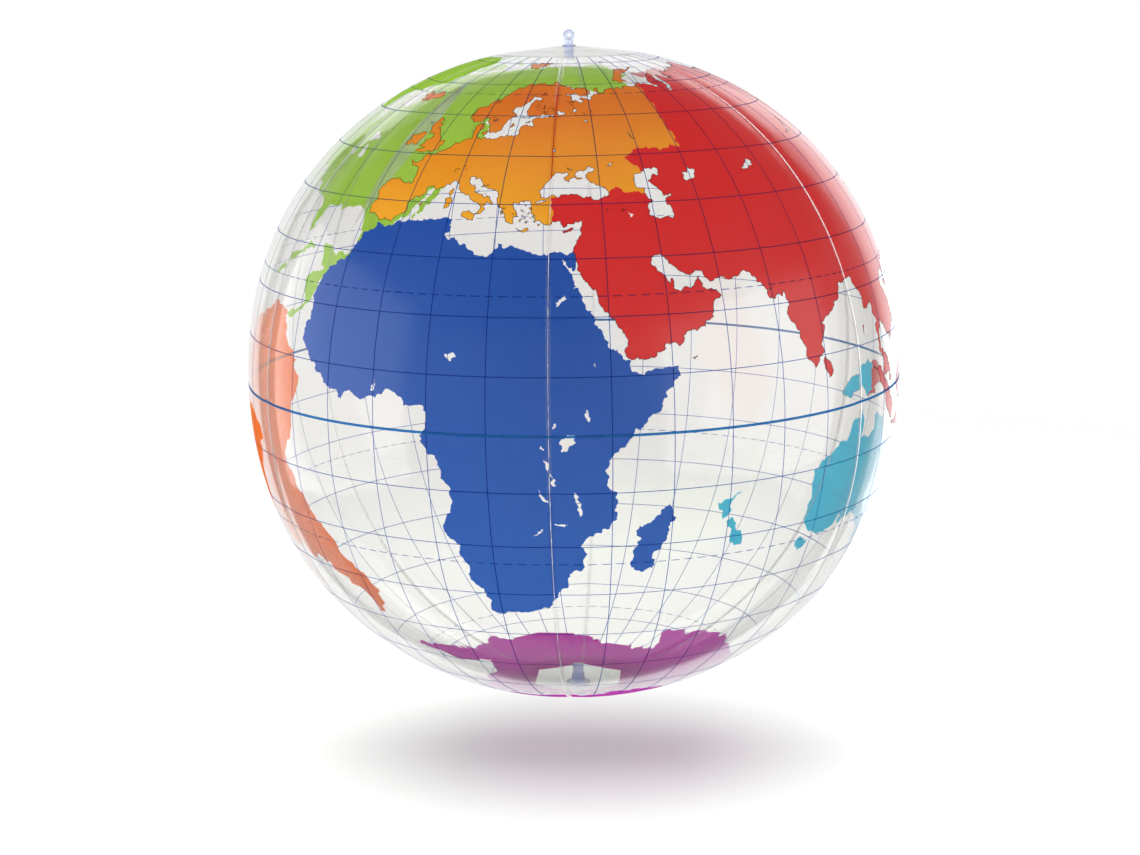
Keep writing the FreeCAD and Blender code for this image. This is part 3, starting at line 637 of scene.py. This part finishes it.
def bumped(height, strength, distance):
    """Bent normal of a surface that rises with the height."""
    look = {"Height": height, "Strength": strength, "Distance": distance}
    return height.finish.add("Bump", look, "Normal")


def finished(finish, share, first, second):
    """The material, its surface mixed from two shaders by a share of the second."""
    whole = finish.add("MixShader", {0: share, 1: first, 2: second})
    finish.add("OutputMaterial", {"Surface": whole})
    return finish.owner


STRAIGHT_ON = 0.04
MILK = (0.86, 0.87, 0.88, 1.0)


def film_finish(name, tint, haze, mirror_blur):
    """Clear vinyl: lets light through, veils it a little and mirrors what is around."""
    finish = Finish(bpy.data.materials.new(name))
    ripple = bumped(grain_of(finish, 9.0, 2.0), 0.25, 0.004)
    clear = finish.add("BsdfTransparent", {"Color": (*tint, 1.0)})
    veil = finish.add("BsdfDiffuse", {"Color": MILK, "Normal": ripple})
    glow = finish.add("BsdfTranslucent", {"Color": MILK, "Normal": ripple})
    milk = finish.add("MixShader", {0: 0.5, 1: veil, 2: glow})
    cloudy = grain_of(finish, 14.0, 5.0) * haze + haze * 0.5
    body = finish.add("MixShader", {0: cloudy, 1: clear, 2: milk})
    gloss = {"Color": WHITE, "Roughness": mirror_blur, "Normal": ripple}
    mirror = finish.add("BsdfAnisotropic", gloss)
    edge_on = finish.add("LayerWeight", {"Blend": 0.5}, "Facing")
    return finished(finish, edge_on**5 * (1 - STRAIGHT_ON) + STRAIGHT_ON, body, mirror)


def ink_finish(name, dark, light, low, high, glow, coat):
    """Screen ink: nearly solid, a little mottled, lit through, turning from one colour to another upwards;
    on the Europe ink that turn is painted shade.
    """
    finish = Finish(bpy.data.materials.new(name))
    dark, light = srgb(*dark), srgb(*light)
    mottle = grain_of(finish, 7.0, 6.0, 0.6)
    spot = finish.add("TexCoord", output="Object")
    # The colour turns with height. On europe_orange this is painted shade: deeper orange towards the top,
    # standing in for the green far-side print darkening the light that comes through.
    rise = ramp(finish.add("SeparateXYZ", {"Vector": spot}, "Z"), low, high, easing="LINEAR")
    blend = rise * 0.8 + mottle * 0.6 - 0.2
    paint = finish.add("ValToRGB", {"Fac": blend}, "Color", [(0.0, dark[:3]), (1.0, light[:3])])
    surface = finish.add(
        "BsdfPrincipled",
        {
            "Base Color": paint,
            "Roughness": mottle * 0.2 + 0.45,
            "IOR": 1.45,
            "Specular IOR Level": coat * 0.5,
            "Coat Weight": coat,
            "Coat Roughness": 0.17,
            "Alpha": mottle * 0.02 + 0.975,
            "Normal": bumped(grain_of(finish, 900.0, 2.0), 0.08, 0.0004),
        },
    )
    dark_glow = finish.add("BsdfTranslucent", {"Color": dark})
    light_glow = finish.add("BsdfTranslucent", {"Color": light})
    through = finish.add("MixShader", {0: blend, 1: dark_glow, 2: light_glow})
    return finished(finish, glow, surface, through)


FILM_TINT = (0.942, 0.934, 0.918)
clear_film = film_finish("clear_film", FILM_TINT, 0.022, 0.09)
film_inside = film_finish("film_inside", (1.0, 1.0, 1.0), 0.018, 0.12)
# Each ink's dark and light, the heights it turns between, its glow and its clear coat.
INK_LOOKS = {
    "asia_red": ((218, 24, 22), (220, 20, 20), -CROWN, CROWN, 0.25, 1.0),
    # Europe turns deeper orange upwards: painted shade for the green print on the far side of the globe.
    "europe_orange": ((252, 180, 20), (228, 112, 22), 0.19, 0.3, 0.25, 1.0),
    "africa_blue": ((6, 90, 184), (2, 72, 168), -0.2, 0.2, 0.25, 1.0),
    "oceania_cyan": ((48, 190, 226), (62, 200, 228), -CROWN, CROWN, 0.5, 0.1),
    "south_orange": ((238, 106, 0), (244, 120, 0), -CROWN, CROWN, 0.5, 0.1),
    "north_green": ((150, 206, 28), (158, 208, 36), -CROWN, CROWN, 0.45, 0.1),
    "antarctic_magenta": ((208, 40, 192), (216, 50, 198), -CROWN, CROWN, 0.5, 0.1),
}
inks = {name: ink_finish(name, *look) for name, look in INK_LOOKS.items()}

for name, west in GORES.items():
    flat, faces, ink = leaf_mesh(west)
    finishes = [clear_film, film_inside] + [inks[continent] for continent in INKS]
    gore = film_shell(name + "_print", flat, faces, np.where(ink == CLEAR, 0, ink + 2), finishes)
    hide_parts(name)
    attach(gore, "root")

# ---- Printed lines
# The net of meridians and parallels with dashed tropics and polar circles, a heavier equator,
# and a thin dark outline with small islets round Europe and Asia, in see-through inks on top.

LINE_LIFT = 0.00010
LINE_WIDTH = 0.00075
EQUATOR_WIDTH = 0.0026
COAST_WIDTH = 0.00055
SPECK_WIDTH = COAST_WIDTH * 0.7
INK_STEP = 0.00004
LINE_THICKNESS = 0.05
LINE_STEP = 1.25
NET_PITCH = 10
OUTLINED_LAKES = 14
TROPIC = 23.5
POLAR_CIRCLE = 66.5
DASH = 1.5
DASH_PITCH = 2.4
NET_TOP = math.degrees(math.atan2(FOOT, PATCH_RADIUS)) / PRINT_SHRINK
ROUND = np.array([west + x for west in range(-30, 330, 60) for x in ACROSS] + [330.0])


def ribbon_tree():
    """Geometry nodes that lay a flat ribbon along each line of a mesh, square to its out attribute."""
    tree = bpy.data.node_groups.new("ribbon", "GeometryNodeTree")
    for socket, way, kind in (
        ("Lines", "INPUT", "Geometry"),
        ("Thickness", "INPUT", "Float"),
        ("Finish", "INPUT", "Material"),
        ("Ribbons", "OUTPUT", "Geometry"),
    ):
        tree.interface.new_socket(socket, in_out=way, socket_type="NodeSocket" + kind)
    steps = {
        "given": "NodeGroupInput",
        "out": "GeometryNodeInputNamedAttribute",
        "width": "GeometryNodeInputNamedAttribute",
        "curve": "GeometryNodeMeshToCurve",
        "upright": "GeometryNodeSetCurveNormal",
        "profile": "GeometryNodeCurvePrimitiveQuadrilateral",
        "swept": "GeometryNodeCurveToMesh",
        "real": "GeometryNodeRealizeInstances",
        "painted": "GeometryNodeSetMaterial",
        "done": "NodeGroupOutput",
    }
    steps = {name: tree.nodes.new(kind) for name, kind in steps.items()}
    steps["out"].data_type = "FLOAT_VECTOR"
    steps["upright"].mode = "FREE"
    for step, socket, setting in (
        ("out", "Name", "out"),
        ("width", "Name", "width"),
        ("profile", "Height", 1.0),
        ("swept", "Fill Caps", True),
    ):
        steps[step].inputs[socket].default_value = setting
    for start, output, end, socket in (
        ("given", "Lines", "curve", "Mesh"),
        ("curve", "Curve", "upright", "Curve"),
        ("out", "Attribute", "upright", "Normal"),
        ("given", "Thickness", "profile", "Width"),
        ("upright", "Curve", "swept", "Curve"),
        ("profile", "Curve", "swept", "Profile Curve"),
        ("width", "Attribute", "swept", "Scale"),
        ("swept", "Mesh", "real", "Geometry"),
        ("real", "Geometry", "painted", "Geometry"),
        ("given", "Finish", "painted", "Material"),
        ("painted", "Geometry", "done", "Ribbons"),
    ):
        tree.links.new(steps[start].outputs[output], steps[end].inputs[socket])
    return tree


RIBBON = ribbon_tree()


def ribbons(name, lines, thickness, material):
    """One piece with a ribbon along each line, given as places, width, closed or not, and lift."""
    points, out, widths, edges = [], [], [], []
    for places_along, width, closed, lift in lines:
        lon, lat = places_along[:, 0], places_along[:, 1]
        first, count = len(points), len(lon)
        points += skin(lon, lat, lift).tolist()
        out += skin_normal(lon, lat).tolist()
        widths += [width] * count
        edges += [(first + k, first + k + 1) for k in range(count - 1)]
        if closed:
            edges.append((first + count - 1, first))
    mesh = bpy.data.meshes.new(name + "_paths")
    mesh.from_pydata(points, edges, [])
    mesh.attributes.new("out", "FLOAT_VECTOR", "POINT").data.foreach_set("vector", np.ravel(out))
    mesh.attributes.new("width", "FLOAT", "POINT").data.foreach_set("value", widths)
    paths = placed(name + "_paths", mesh)
    sweep = paths.modifiers.new("ribbon", "NODES")
    sweep.node_group = RIBBON
    sockets = {item.name: item.identifier for item in RIBBON.interface.items_tree}
    sweep[sockets["Thickness"]] = thickness
    sweep[sockets["Finish"]] = material
    made = paths.evaluated_get(bpy.context.evaluated_depsgraph_get())
    solid = bpy.data.meshes.new_from_object(made)
    solid.name = name
    bpy.data.objects.remove(paths)
    return placed(name, solid)


def line_ink(name, tint, body, share):
    """See-through ink: darkens what lies under it, with a share of its own colour."""
    finish = Finish(bpy.data.materials.new(name))
    under = finish.add("BsdfTransparent", {"Color": (*tint, 1.0)})
    own = finish.add("BsdfPrincipled", {"Base Color": body, "Roughness": 0.5})
    return finished(finish, grain_of(finish, 60.0, 3.0) * 0.1 + (share - 0.05), under, own)


def upright_line(longitude, low, high, step=LINE_STEP):
    """Places up a meridian."""
    lat = np.linspace(low, high, max(2, round((high - low) / step)))
    return np.stack([np.full(len(lat), float(longitude)), lat], axis=1)


net, equator = [], []
for west in GORES.values():
    for middle in range(NET_PITCH, int(GORE_ANGLE), NET_PITCH):
        net.append((upright_line(west + middle, -NET_TOP, NET_TOP), LINE_WIDTH, False, LINE_LIFT))
for latitude in range(-80, 81, NET_PITCH):
    circle = np.stack([ROUND[:-1], np.full(len(ROUND) - 1, float(latitude))], axis=1)
    if latitude == 0:
        equator.append((circle, EQUATOR_WIDTH, True, LINE_LIFT + 2 * INK_STEP))
    else:
        net.append((circle, LINE_WIDTH, True, LINE_LIFT + INK_STEP))
for latitude in (-POLAR_CIRCLE, -TROPIC, TROPIC, POLAR_CIRCLE):
    pitch = DASH_PITCH if abs(latitude) == TROPIC else DASH_PITCH * 2
    for start in np.arange(0, 360, pitch):
        dash = np.linspace(start, start + pitch * DASH / DASH_PITCH, 3)
        net.append((np.stack([dash, np.full(3, latitude)], axis=1), LINE_WIDTH, False, LINE_LIFT))
net_ink = line_ink("net_ink", (0.24, 0.42, 0.78), srgb(24, 88, 164), 0.16)
map_net = ribbons("map_net", net, LINE_THICKNESS, net_ink)
equator_ink = line_ink("equator_ink", (0.22, 0.55, 0.82), srgb(24, 116, 186), 0.4)
equator_line = ribbons("equator_line", equator, LINE_THICKNESS, equator_ink)

outlined = COASTS["asia_red"] + COASTS["europe_orange"] + LAKES[:OUTLINED_LAKES]
outlines = [(line, COAST_WIDTH, True, LINE_LIFT) for line in outlined]
# Groups of islets: longitude and latitude of the middle, spread east and north, how many.
SPECKS = [
    (26.5, 62.4, 3.6, 1.5, 24),
    (24.5, 66.8, 3.0, 0.8, 10),
    (13.5, 58.6, 1.4, 0.9, 6),
    (34.5, 64.0, 2.4, 1.3, 12),
    (39.0, 60.0, 4.0, 1.0, 9),
    (10.5, 64.8, 1.2, 0.9, 8),
    (5.1, 60.6, 0.4, 1.0, 8),
    (-6.6, 57.4, 0.6, 0.9, 9),
    (15.8, 43.5, 2.0, 0.9, 8),
    (25.2, 37.6, 1.9, 1.6, 11),
    (20.6, 38.6, 0.4, 0.9, 6),
    (22.4, 59.6, 1.4, 0.4, 8),
    (55.0, 80.6, 5.0, 0.6, 14),
    (9.0, 47.2, 2.4, 0.6, 5),
    (43.2, 38.6, 1.6, 0.6, 4),
]
SPECK_SIZE = 0.16
SPECK_CORNERS = 5
scatter = np.random.default_rng(7)
for east, north, wide, tall, count in SPECKS:
    for _ in range(count):
        place = np.array([east, north]) + scatter.normal(size=2) * (wide, tall) * 0.6
        angles = np.arange(SPECK_CORNERS) * math.tau / SPECK_CORNERS
        reach = SPECK_SIZE * scatter.uniform(0.4, 1.3, SPECK_CORNERS)
        ring = place + np.stack([np.cos(angles) * reach * 1.6, np.sin(angles) * reach], axis=1)
        outlines.append((ring, SPECK_WIDTH, True, LINE_LIFT))
coast_ink = line_ink("coast_ink", (0.10, 0.13, 0.08), srgb(30, 36, 24), 0.5)
coast_lines = ribbons("coast_lines", outlines, LINE_THICKNESS, coast_ink)
for lines in (map_net, equator_line, coast_lines):
    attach(lines, "root")

# ---- Seams
# Neighbouring gores overlap by 5 mm and are welded by heat: the lap is a little milky, with
# a fine broken white bead on it. At 30 E a line of red ink shows in the seam, up to the Arctic.

LAP_WIDTH = 0.005
LAP_THICKNESS = 0.05
BEAD_WIDTH = 0.0003
LAP_LIFT = 0.00004
BEAD_THICKNESS = 0.3
BEAD_LIFT = 0.0003
BEAD_SHARE = 0.65
RED_REACH = (45.2, 69.5)
RED_WIDTH = 0.0009
RED_LIFT = 0.00036
RED_THICKNESS = 0.1
lap_film = film_finish("lap_film", (0.99, 0.99, 0.99), 0.004, 0.1)
weld = Finish(bpy.data.materials.new("weld_bead"))
shown = ramp(grain_of(weld, 55.0, 3.0), 0.38, 0.56, easing="LINEAR")
weld_white = weld.add("BsdfPrincipled", {"Base Color": (0.92, 0.93, 0.95, 1.0), "Roughness": 0.25})
weld_bead = finished(weld, shown * BEAD_SHARE, weld.add("BsdfTransparent"), weld_white)

top = float(tip_latitude(0.0, GORE_ANGLE / 2))
seams = [upright_line(west, -top, top) for west in GORES.values()]
laps = ribbons("seam_laps", [(s, LAP_WIDTH, False, LAP_LIFT) for s in seams], LAP_THICKNESS, lap_film)
beads = ribbons("seam_beads", [(s, BEAD_WIDTH, False, BEAD_LIFT) for s in seams], BEAD_THICKNESS, weld_bead)
red_print = [(upright_line(SEAM_EAST, *RED_REACH), RED_WIDTH, False, RED_LIFT)]
red_seam = ribbons("red_seam_line", red_print, RED_THICKNESS, inks["asia_red"])
for seam in (laps, beads, red_seam):
    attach(seam, "root")

# ---- Polar patches
# A round of the same film, 140 mm across, lies over the gores' tips at each pole. Its hole
# lets the fitting through, and heat has left a thin raised bead round its rim.

PATCH_HOLE = 0.008
PATCH_LIFT = 0.00035
PATCH_TURNS = 144
BREAK_SOFT = 0.004
RIM_BEAD = (0.0012, 0.0007, 0.0002)
RIM_RISE = 0.00025
TURNS = 96
LARGEST_CUT = 0.45
NEARLY_STRAIGHT = math.radians(170)
SHARP = math.radians(40)


def rounded(corners, radius, steps=3):
    """Corners of a closed outline, each turned into a small arc."""
    corners = [Vector(corner) for corner in corners]
    outline = []
    for n, corner in enumerate(corners):
        before = corners[n - 1] - corner
        after = corners[(n + 1) % len(corners)] - corner
        cut = min(radius, min(before.length, after.length) * LARGEST_CUT)
        if before.angle(after) > NEARLY_STRAIGHT or corner.x < 1e-6:
            outline.append(corner)
            continue
        start, end = corner + before.normalized() * cut, corner + after.normalized() * cut
        for k in range(steps + 1):
            t = k / steps
            outline.append(start * (1 - t) ** 2 + corner * 2 * t * (1 - t) + end * t**2)
    return outline


def turned(name, outline, turns, material):
    """Piece from a closed outline of radius and height, turned about the globe's axis."""
    shape = bmesh.new()
    rings = []
    for point in outline:
        if point.x < 1e-7:
            rings.append([shape.verts.new((0, 0, point.y))] * turns)
            continue
        angles = [math.tau * k / turns for k in range(turns)]
        ring = [(point.x * math.cos(angle), point.x * math.sin(angle), point.y) for angle in angles]
        rings.append([shape.verts.new(place) for place in ring])
    for low, high in zip(rings, rings[1:] + rings[:1]):
        for k in range(turns):
            loop = [low[k], low[(k + 1) % turns], high[(k + 1) % turns], high[k]]
            loop = list(dict.fromkeys(loop))
            if len(loop) > 2:
                shape.faces.new(loop)
    bmesh.ops.recalc_face_normals(shape, faces=shape.faces)
    for face in shape.faces:
        face.smooth = True
    mesh = bpy.data.meshes.new(name)
    shape.to_mesh(mesh)
    shape.free()
    mesh.materials.append(material)
    mesh.set_sharp_from_angle(angle=SHARP)
    return placed(name, mesh)


patch_film = film_finish("patch_film", (0.89, 0.90, 0.885), 0.03, 0.1)
slope = (FOOT - CROWN) / (PATCH_RADIUS - FLAT_RADIUS)
up = Vector((-slope, 1)).normalized()
bead_foot, bead_crest, bead_end = RIM_BEAD
top_line = [
    Vector((PATCH_HOLE, CROWN)),
    Vector((FLAT_RADIUS, CROWN)),
    Vector((FLAT_RADIUS + BREAK_SOFT, CROWN + slope * BREAK_SOFT * 0.9)),
    Vector((PATCH_RADIUS - bead_foot, FOOT - slope * bead_foot)),
    Vector((PATCH_RADIUS - bead_crest, FOOT - slope * bead_crest + RIM_RISE)),
    Vector((PATCH_RADIUS - bead_end, FOOT)),
]
patch_outline = [point + up * PATCH_LIFT for point in top_line]
patch_outline += [point + up * (PATCH_LIFT - FILM) for point in (top_line[5], top_line[3], *top_line[2::-1])]
for name, side in (("north_patch", 1), ("south_patch", -1)):
    outline = [Vector((point.x, side * point.y)) for point in patch_outline]
    patch = turned(name + "_film", outline, PATCH_TURNS, patch_film)
    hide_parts(name)
    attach(patch, "root")

# ---- Fittings
# Soft blue-tinted vinyl, moulded in one go with its flange, thin cone and stem. The flange is
# welded under the patch. The real cone folds so the stem pulls out to blow it up; it is drawn unfolded.


def vinyl_finish(name, tint, blur):
    """Soft clear vinyl with a blue cast, faintly streaked from its mould."""
    finish = Finish(bpy.data.materials.new(name))
    flow = grain_of(finish, 260.0, 3.0)
    pale = tuple(c**0.6 for c in tint)
    paint = finish.add("ValToRGB", {"Fac": flow}, "Color", [(0.35, tint), (0.75, pale)])
    moulded = finish.add(
        "BsdfPrincipled",
        {
            "Base Color": paint,
            "Roughness": flow * 0.1 + blur,
            "IOR": 1.52,
            "Transmission Weight": 0.85,
            "Coat Weight": 0.5,
            "Coat Roughness": 0.08,
            "Normal": bumped(flow, 0.25, 0.0004),
        },
    )
    see_through = finish.add("BsdfTransparent", {"Color": (0.9, 0.93, 1.0, 1.0)})
    return finished(finish, 0.5, see_through, moulded)


soft_vinyl = vinyl_finish("soft_vinyl", (0.66, 0.73, 0.97), 0.08)
thin_vinyl = vinyl_finish("thin_vinyl", (0.80, 0.85, 0.98), 0.16)
# The darker blue vinyl is painted shade: it stands for the dark edges that clear vinyl shows when seen
# edge-on.
edge_shade_vinyl = vinyl_finish("edge_shade_vinyl", (0.16, 0.2, 0.62), 0.06)

FLANGE_THICK = 0.0008
FLANGE_BORE = 0.0076
SKIRT_WALL = 0.0006
SKIRT_DEPTH = 0.008
SKIRT_TAPER = 0.0016
RING_THICK = 0.001
STEM_BORE = 0.004
STEM_WALL = 0.00125
SLEEVE_RADIUS = 0.006
RIM = -FLANGE_THICK - SKIRT_DEPTH
RIM_RADIUS = FLANGE_BORE + SKIRT_WALL - SKIRT_TAPER
STEM_RADIUS = STEM_BORE + STEM_WALL
SOFT_EDGE = 0.0002
SKIRT_STEPS = 16
SKIRT_TURNS = 72


def at_pole(corners, south=False):
    """Radius and depth from the level of a pole, made a place on the globe's axis."""
    side = -1 if south else 1
    return [Vector((radius, side * (CROWN + height))) for radius, height in corners]


def fitting(name, corners, south, body):
    """A turned part of a fitting that stands for its CAD node."""
    piece = turned(name + "_moulding", rounded(at_pole(corners, south), SOFT_EDGE), TURNS, soft_vinyl)
    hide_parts(name)
    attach(piece, body)


flange = [
    (FLANGE_BORE, -FLANGE_THICK),
    (FLAT_RADIUS, -FLANGE_THICK),
    (FLAT_RADIUS, 0),
    (FLANGE_BORE, 0),
]
skirt_top, skirt_foot = Vector((FLANGE_BORE, -FLANGE_THICK)), Vector((RIM_RADIUS - SKIRT_WALL, RIM))
down = [skirt_top.lerp(skirt_foot, k / SKIRT_STEPS) for k in range(SKIRT_STEPS + 1)]
skirt = [(point.x + SKIRT_WALL, point.y) for point in down] + [tuple(point) for point in down[::-1]]
for fitted, south, stem in (("hang", False, "hang_socket"), ("valve", True, "valve_stem")):
    fitting(fitted + "_flange", flange, south, "root")
    cone = turned(fitted + "_skirt_cone", at_pole(skirt, south), SKIRT_TURNS, thin_vinyl)
    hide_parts(fitted + "_skirt")
    side = -1 if south else 1
    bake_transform(cone)

# ---- Hanging socket and plug
# The socket is a closed cup; the plug snaps into the groove in its wall, turns there, and
# ends above the patch in an eye for the hanging line.

SOCKET_SLEEVE = 0.0032
SOCKET_FLOOR = 0.001
SNAP_TOP = -0.0057
SNAP_FOOT = -0.0081
SNAP_HEIGHT = 0.0009
socket_foot = RIM - RING_THICK - SOCKET_SLEEVE
socket = [
    (0, socket_foot - SOCKET_FLOOR),
    (SLEEVE_RADIUS, socket_foot - SOCKET_FLOOR),
    (SLEEVE_RADIUS, RIM - RING_THICK),
    (RIM_RADIUS, RIM - RING_THICK),
    (RIM_RADIUS, RIM),
    (STEM_RADIUS, RIM),
    (STEM_RADIUS, 0),
    (STEM_BORE, 0),
    (STEM_BORE, SNAP_TOP),
    (STEM_BORE + SNAP_HEIGHT, SNAP_TOP),
    (STEM_BORE + SNAP_HEIGHT, SNAP_FOOT),
    (STEM_BORE, SNAP_FOOT),
    (STEM_BORE, socket_foot),
    (0, socket_foot),
]
fitting("hang_socket", socket, False, "hang_socket")

COLLAR_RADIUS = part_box("hang_plug")[1][0]
COLLAR_THICK = 0.0016
NECK_RADIUS = 0.0045
NECK_TOP = COLLAR_THICK + 0.0055
SHANK_RADIUS = STEM_BORE - 0.00005
SHANK_FOOT = -0.0106
EYE_MIDDLE = 0.0117
EYE_RADIUS = 0.0058
EYE_HALF = 0.0025
EYE_HOLE = 0.0018
EYE_ROUND = 0.0012
EYE_TURNS = 64
SNAP_BEAD = STEM_BORE + 0.0006
SNAP_BEAD_TOP = -0.006
SNAP_BEAD_FOOT = -0.0078
NECK_FOOT = COLLAR_THICK + 0.0004
NECK_CROWN = NECK_TOP + 0.0012
PLUG_EDGE = 0.0003
plug = [
    (0, SHANK_FOOT),
    (SHANK_RADIUS, SHANK_FOOT),
    (SHANK_RADIUS, SNAP_BEAD_FOOT),
    (SNAP_BEAD, SNAP_BEAD_FOOT),
    (SNAP_BEAD, SNAP_BEAD_TOP),
    (SHANK_RADIUS, SNAP_BEAD_TOP),
    (SHANK_RADIUS, 0),
    (COLLAR_RADIUS, 0),
    (COLLAR_RADIUS, COLLAR_THICK),
    (NECK_RADIUS, NECK_FOOT),
    (NECK_RADIUS, NECK_TOP),
    (0, NECK_CROWN),
]
hang_plug = turned("hang_plug_moulding", rounded(at_pole(plug), PLUG_EDGE), TURNS, soft_vinyl)
eye_outline = [
    (EYE_HOLE, -EYE_HALF),
    (EYE_RADIUS, -EYE_HALF),
    (EYE_RADIUS, EYE_HALF),
    (EYE_HOLE, EYE_HALF),
]
eye = turned("eye", rounded(eye_outline, EYE_ROUND, 6), EYE_TURNS, soft_vinyl)
eye_centre = Vector((0, 0, CROWN + EYE_MIDDLE))
eye.data.transform(Matrix.Translation(eye_centre) @ Matrix.Rotation(math.pi / 2, 4, "X"))
join = hang_plug.modifiers.new("join", "BOOLEAN")
join.operation = "UNION"
join.solver = "EXACT"
join.object = eye
made = hang_plug.evaluated_get(bpy.context.evaluated_depsgraph_get())
joined = bpy.data.meshes.new_from_object(made)
hang_plug.modifiers.clear()
hang_plug.data = joined
bpy.data.objects.remove(eye)
# The collar's rim and the eye's outer upper rim take the darker blue as painted shade; the whole plug is one
# vinyl.
joined.materials.append(edge_shade_vinyl)
for face in joined.polygons:
    collar_rim_shade = face.center.z < CROWN + COLLAR_THICK and face.center.xy.length > NECK_RADIUS
    eye_rim_shade = (face.center - eye_centre).xz.length > EYE_RADIUS * 0.8 and face.center.z > eye_centre.z
    face.material_index = int(collar_rim_shade or eye_rim_shade)
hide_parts("hang_plug")
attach(hang_plug, "hang_plug")

# ---- Valve
# A hollow stem with a stopper in its mouth, tied to it by a short strap, and at its inner end a
# disc of film that the air inside presses shut.

MOUTH = -0.0015
CAP_RADIUS = 0.0064
CAP_THICK = 0.0012
BEAD_THICK = 0.0008
VALVE_SLEEVE = 0.010
VALVE_SHANK = 0.0065
SHANK_TAPER = 0.0005
FLAP_TURNS = 48
STRAP_ROWS = 10
STRAP_WAIST = 0.00012
stem_foot = RIM - RING_THICK - VALVE_SLEEVE
stem = [
    (STEM_BORE, stem_foot),
    (SLEEVE_RADIUS, stem_foot),
    (SLEEVE_RADIUS, RIM - RING_THICK),
    (RIM_RADIUS, RIM - RING_THICK),
    (RIM_RADIUS, RIM),
    (STEM_RADIUS, RIM),
    (STEM_RADIUS, MOUTH - BEAD_THICK),
    (CAP_RADIUS, MOUTH - BEAD_THICK),
    (CAP_RADIUS, MOUTH),
    (STEM_BORE, MOUTH),
]
fitting("valve_stem", stem, True, "valve_stem")
stopper = [
    (0, MOUTH - VALVE_SHANK),
    (SHANK_RADIUS - SHANK_TAPER, MOUTH - VALVE_SHANK),
    (SHANK_RADIUS, MOUTH - VALVE_SHANK * 0.67),
    (SHANK_RADIUS, MOUTH),
    (CAP_RADIUS, MOUTH),
    (CAP_RADIUS, MOUTH + CAP_THICK),
    (0, MOUTH + CAP_THICK),
]
fitting("valve_plug", stopper, True, "valve_plug")
flap_low, flap_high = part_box("check_flap")
flap_radius, flap_top, flap_foot = flap_high[0], -flap_high[2] - CROWN, -flap_low[2] - CROWN
flap = [(0, flap_top), (flap_radius, flap_top), (flap_radius, flap_foot), (0, flap_foot)]
check_flap = turned("check_flap_film", at_pole(flap, True), FLAP_TURNS, clear_film)
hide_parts("check_flap")
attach(check_flap, "check_flap")

strap_low, strap_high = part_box("valve_strap")
strap_shape = bmesh.new()
rows = []
for k in range(STRAP_ROWS + 1):
    height = strap_low[2] + (strap_high[2] - strap_low[2]) * k / STRAP_ROWS
    waist = STRAP_WAIST * math.sin(math.pi * k / STRAP_ROWS)
    near, far = strap_low[0], strap_high[0] - waist
    west, east = strap_low[1] + waist, strap_high[1] - waist
    corners = ((near, west), (far, west), (far, east), (near, east))
    rows.append([strap_shape.verts.new((x, y, height)) for x, y in corners])
for low, high in zip(rows, rows[1:]):
    for k in range(4):
        strap_shape.faces.new([low[k], low[(k + 1) % 4], high[(k + 1) % 4], high[k]])
strap_shape.faces.new(rows[0][::-1])
strap_shape.faces.new(rows[-1])
bmesh.ops.recalc_face_normals(strap_shape, faces=strap_shape.faces)
strap_mesh = bpy.data.meshes.new("valve_strap_tongue")
strap_shape.to_mesh(strap_mesh)
strap_shape.free()
strap_mesh.materials.append(soft_vinyl)
strap = placed("valve_strap_tongue", strap_mesh)
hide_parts("valve_strap")
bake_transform(strap)
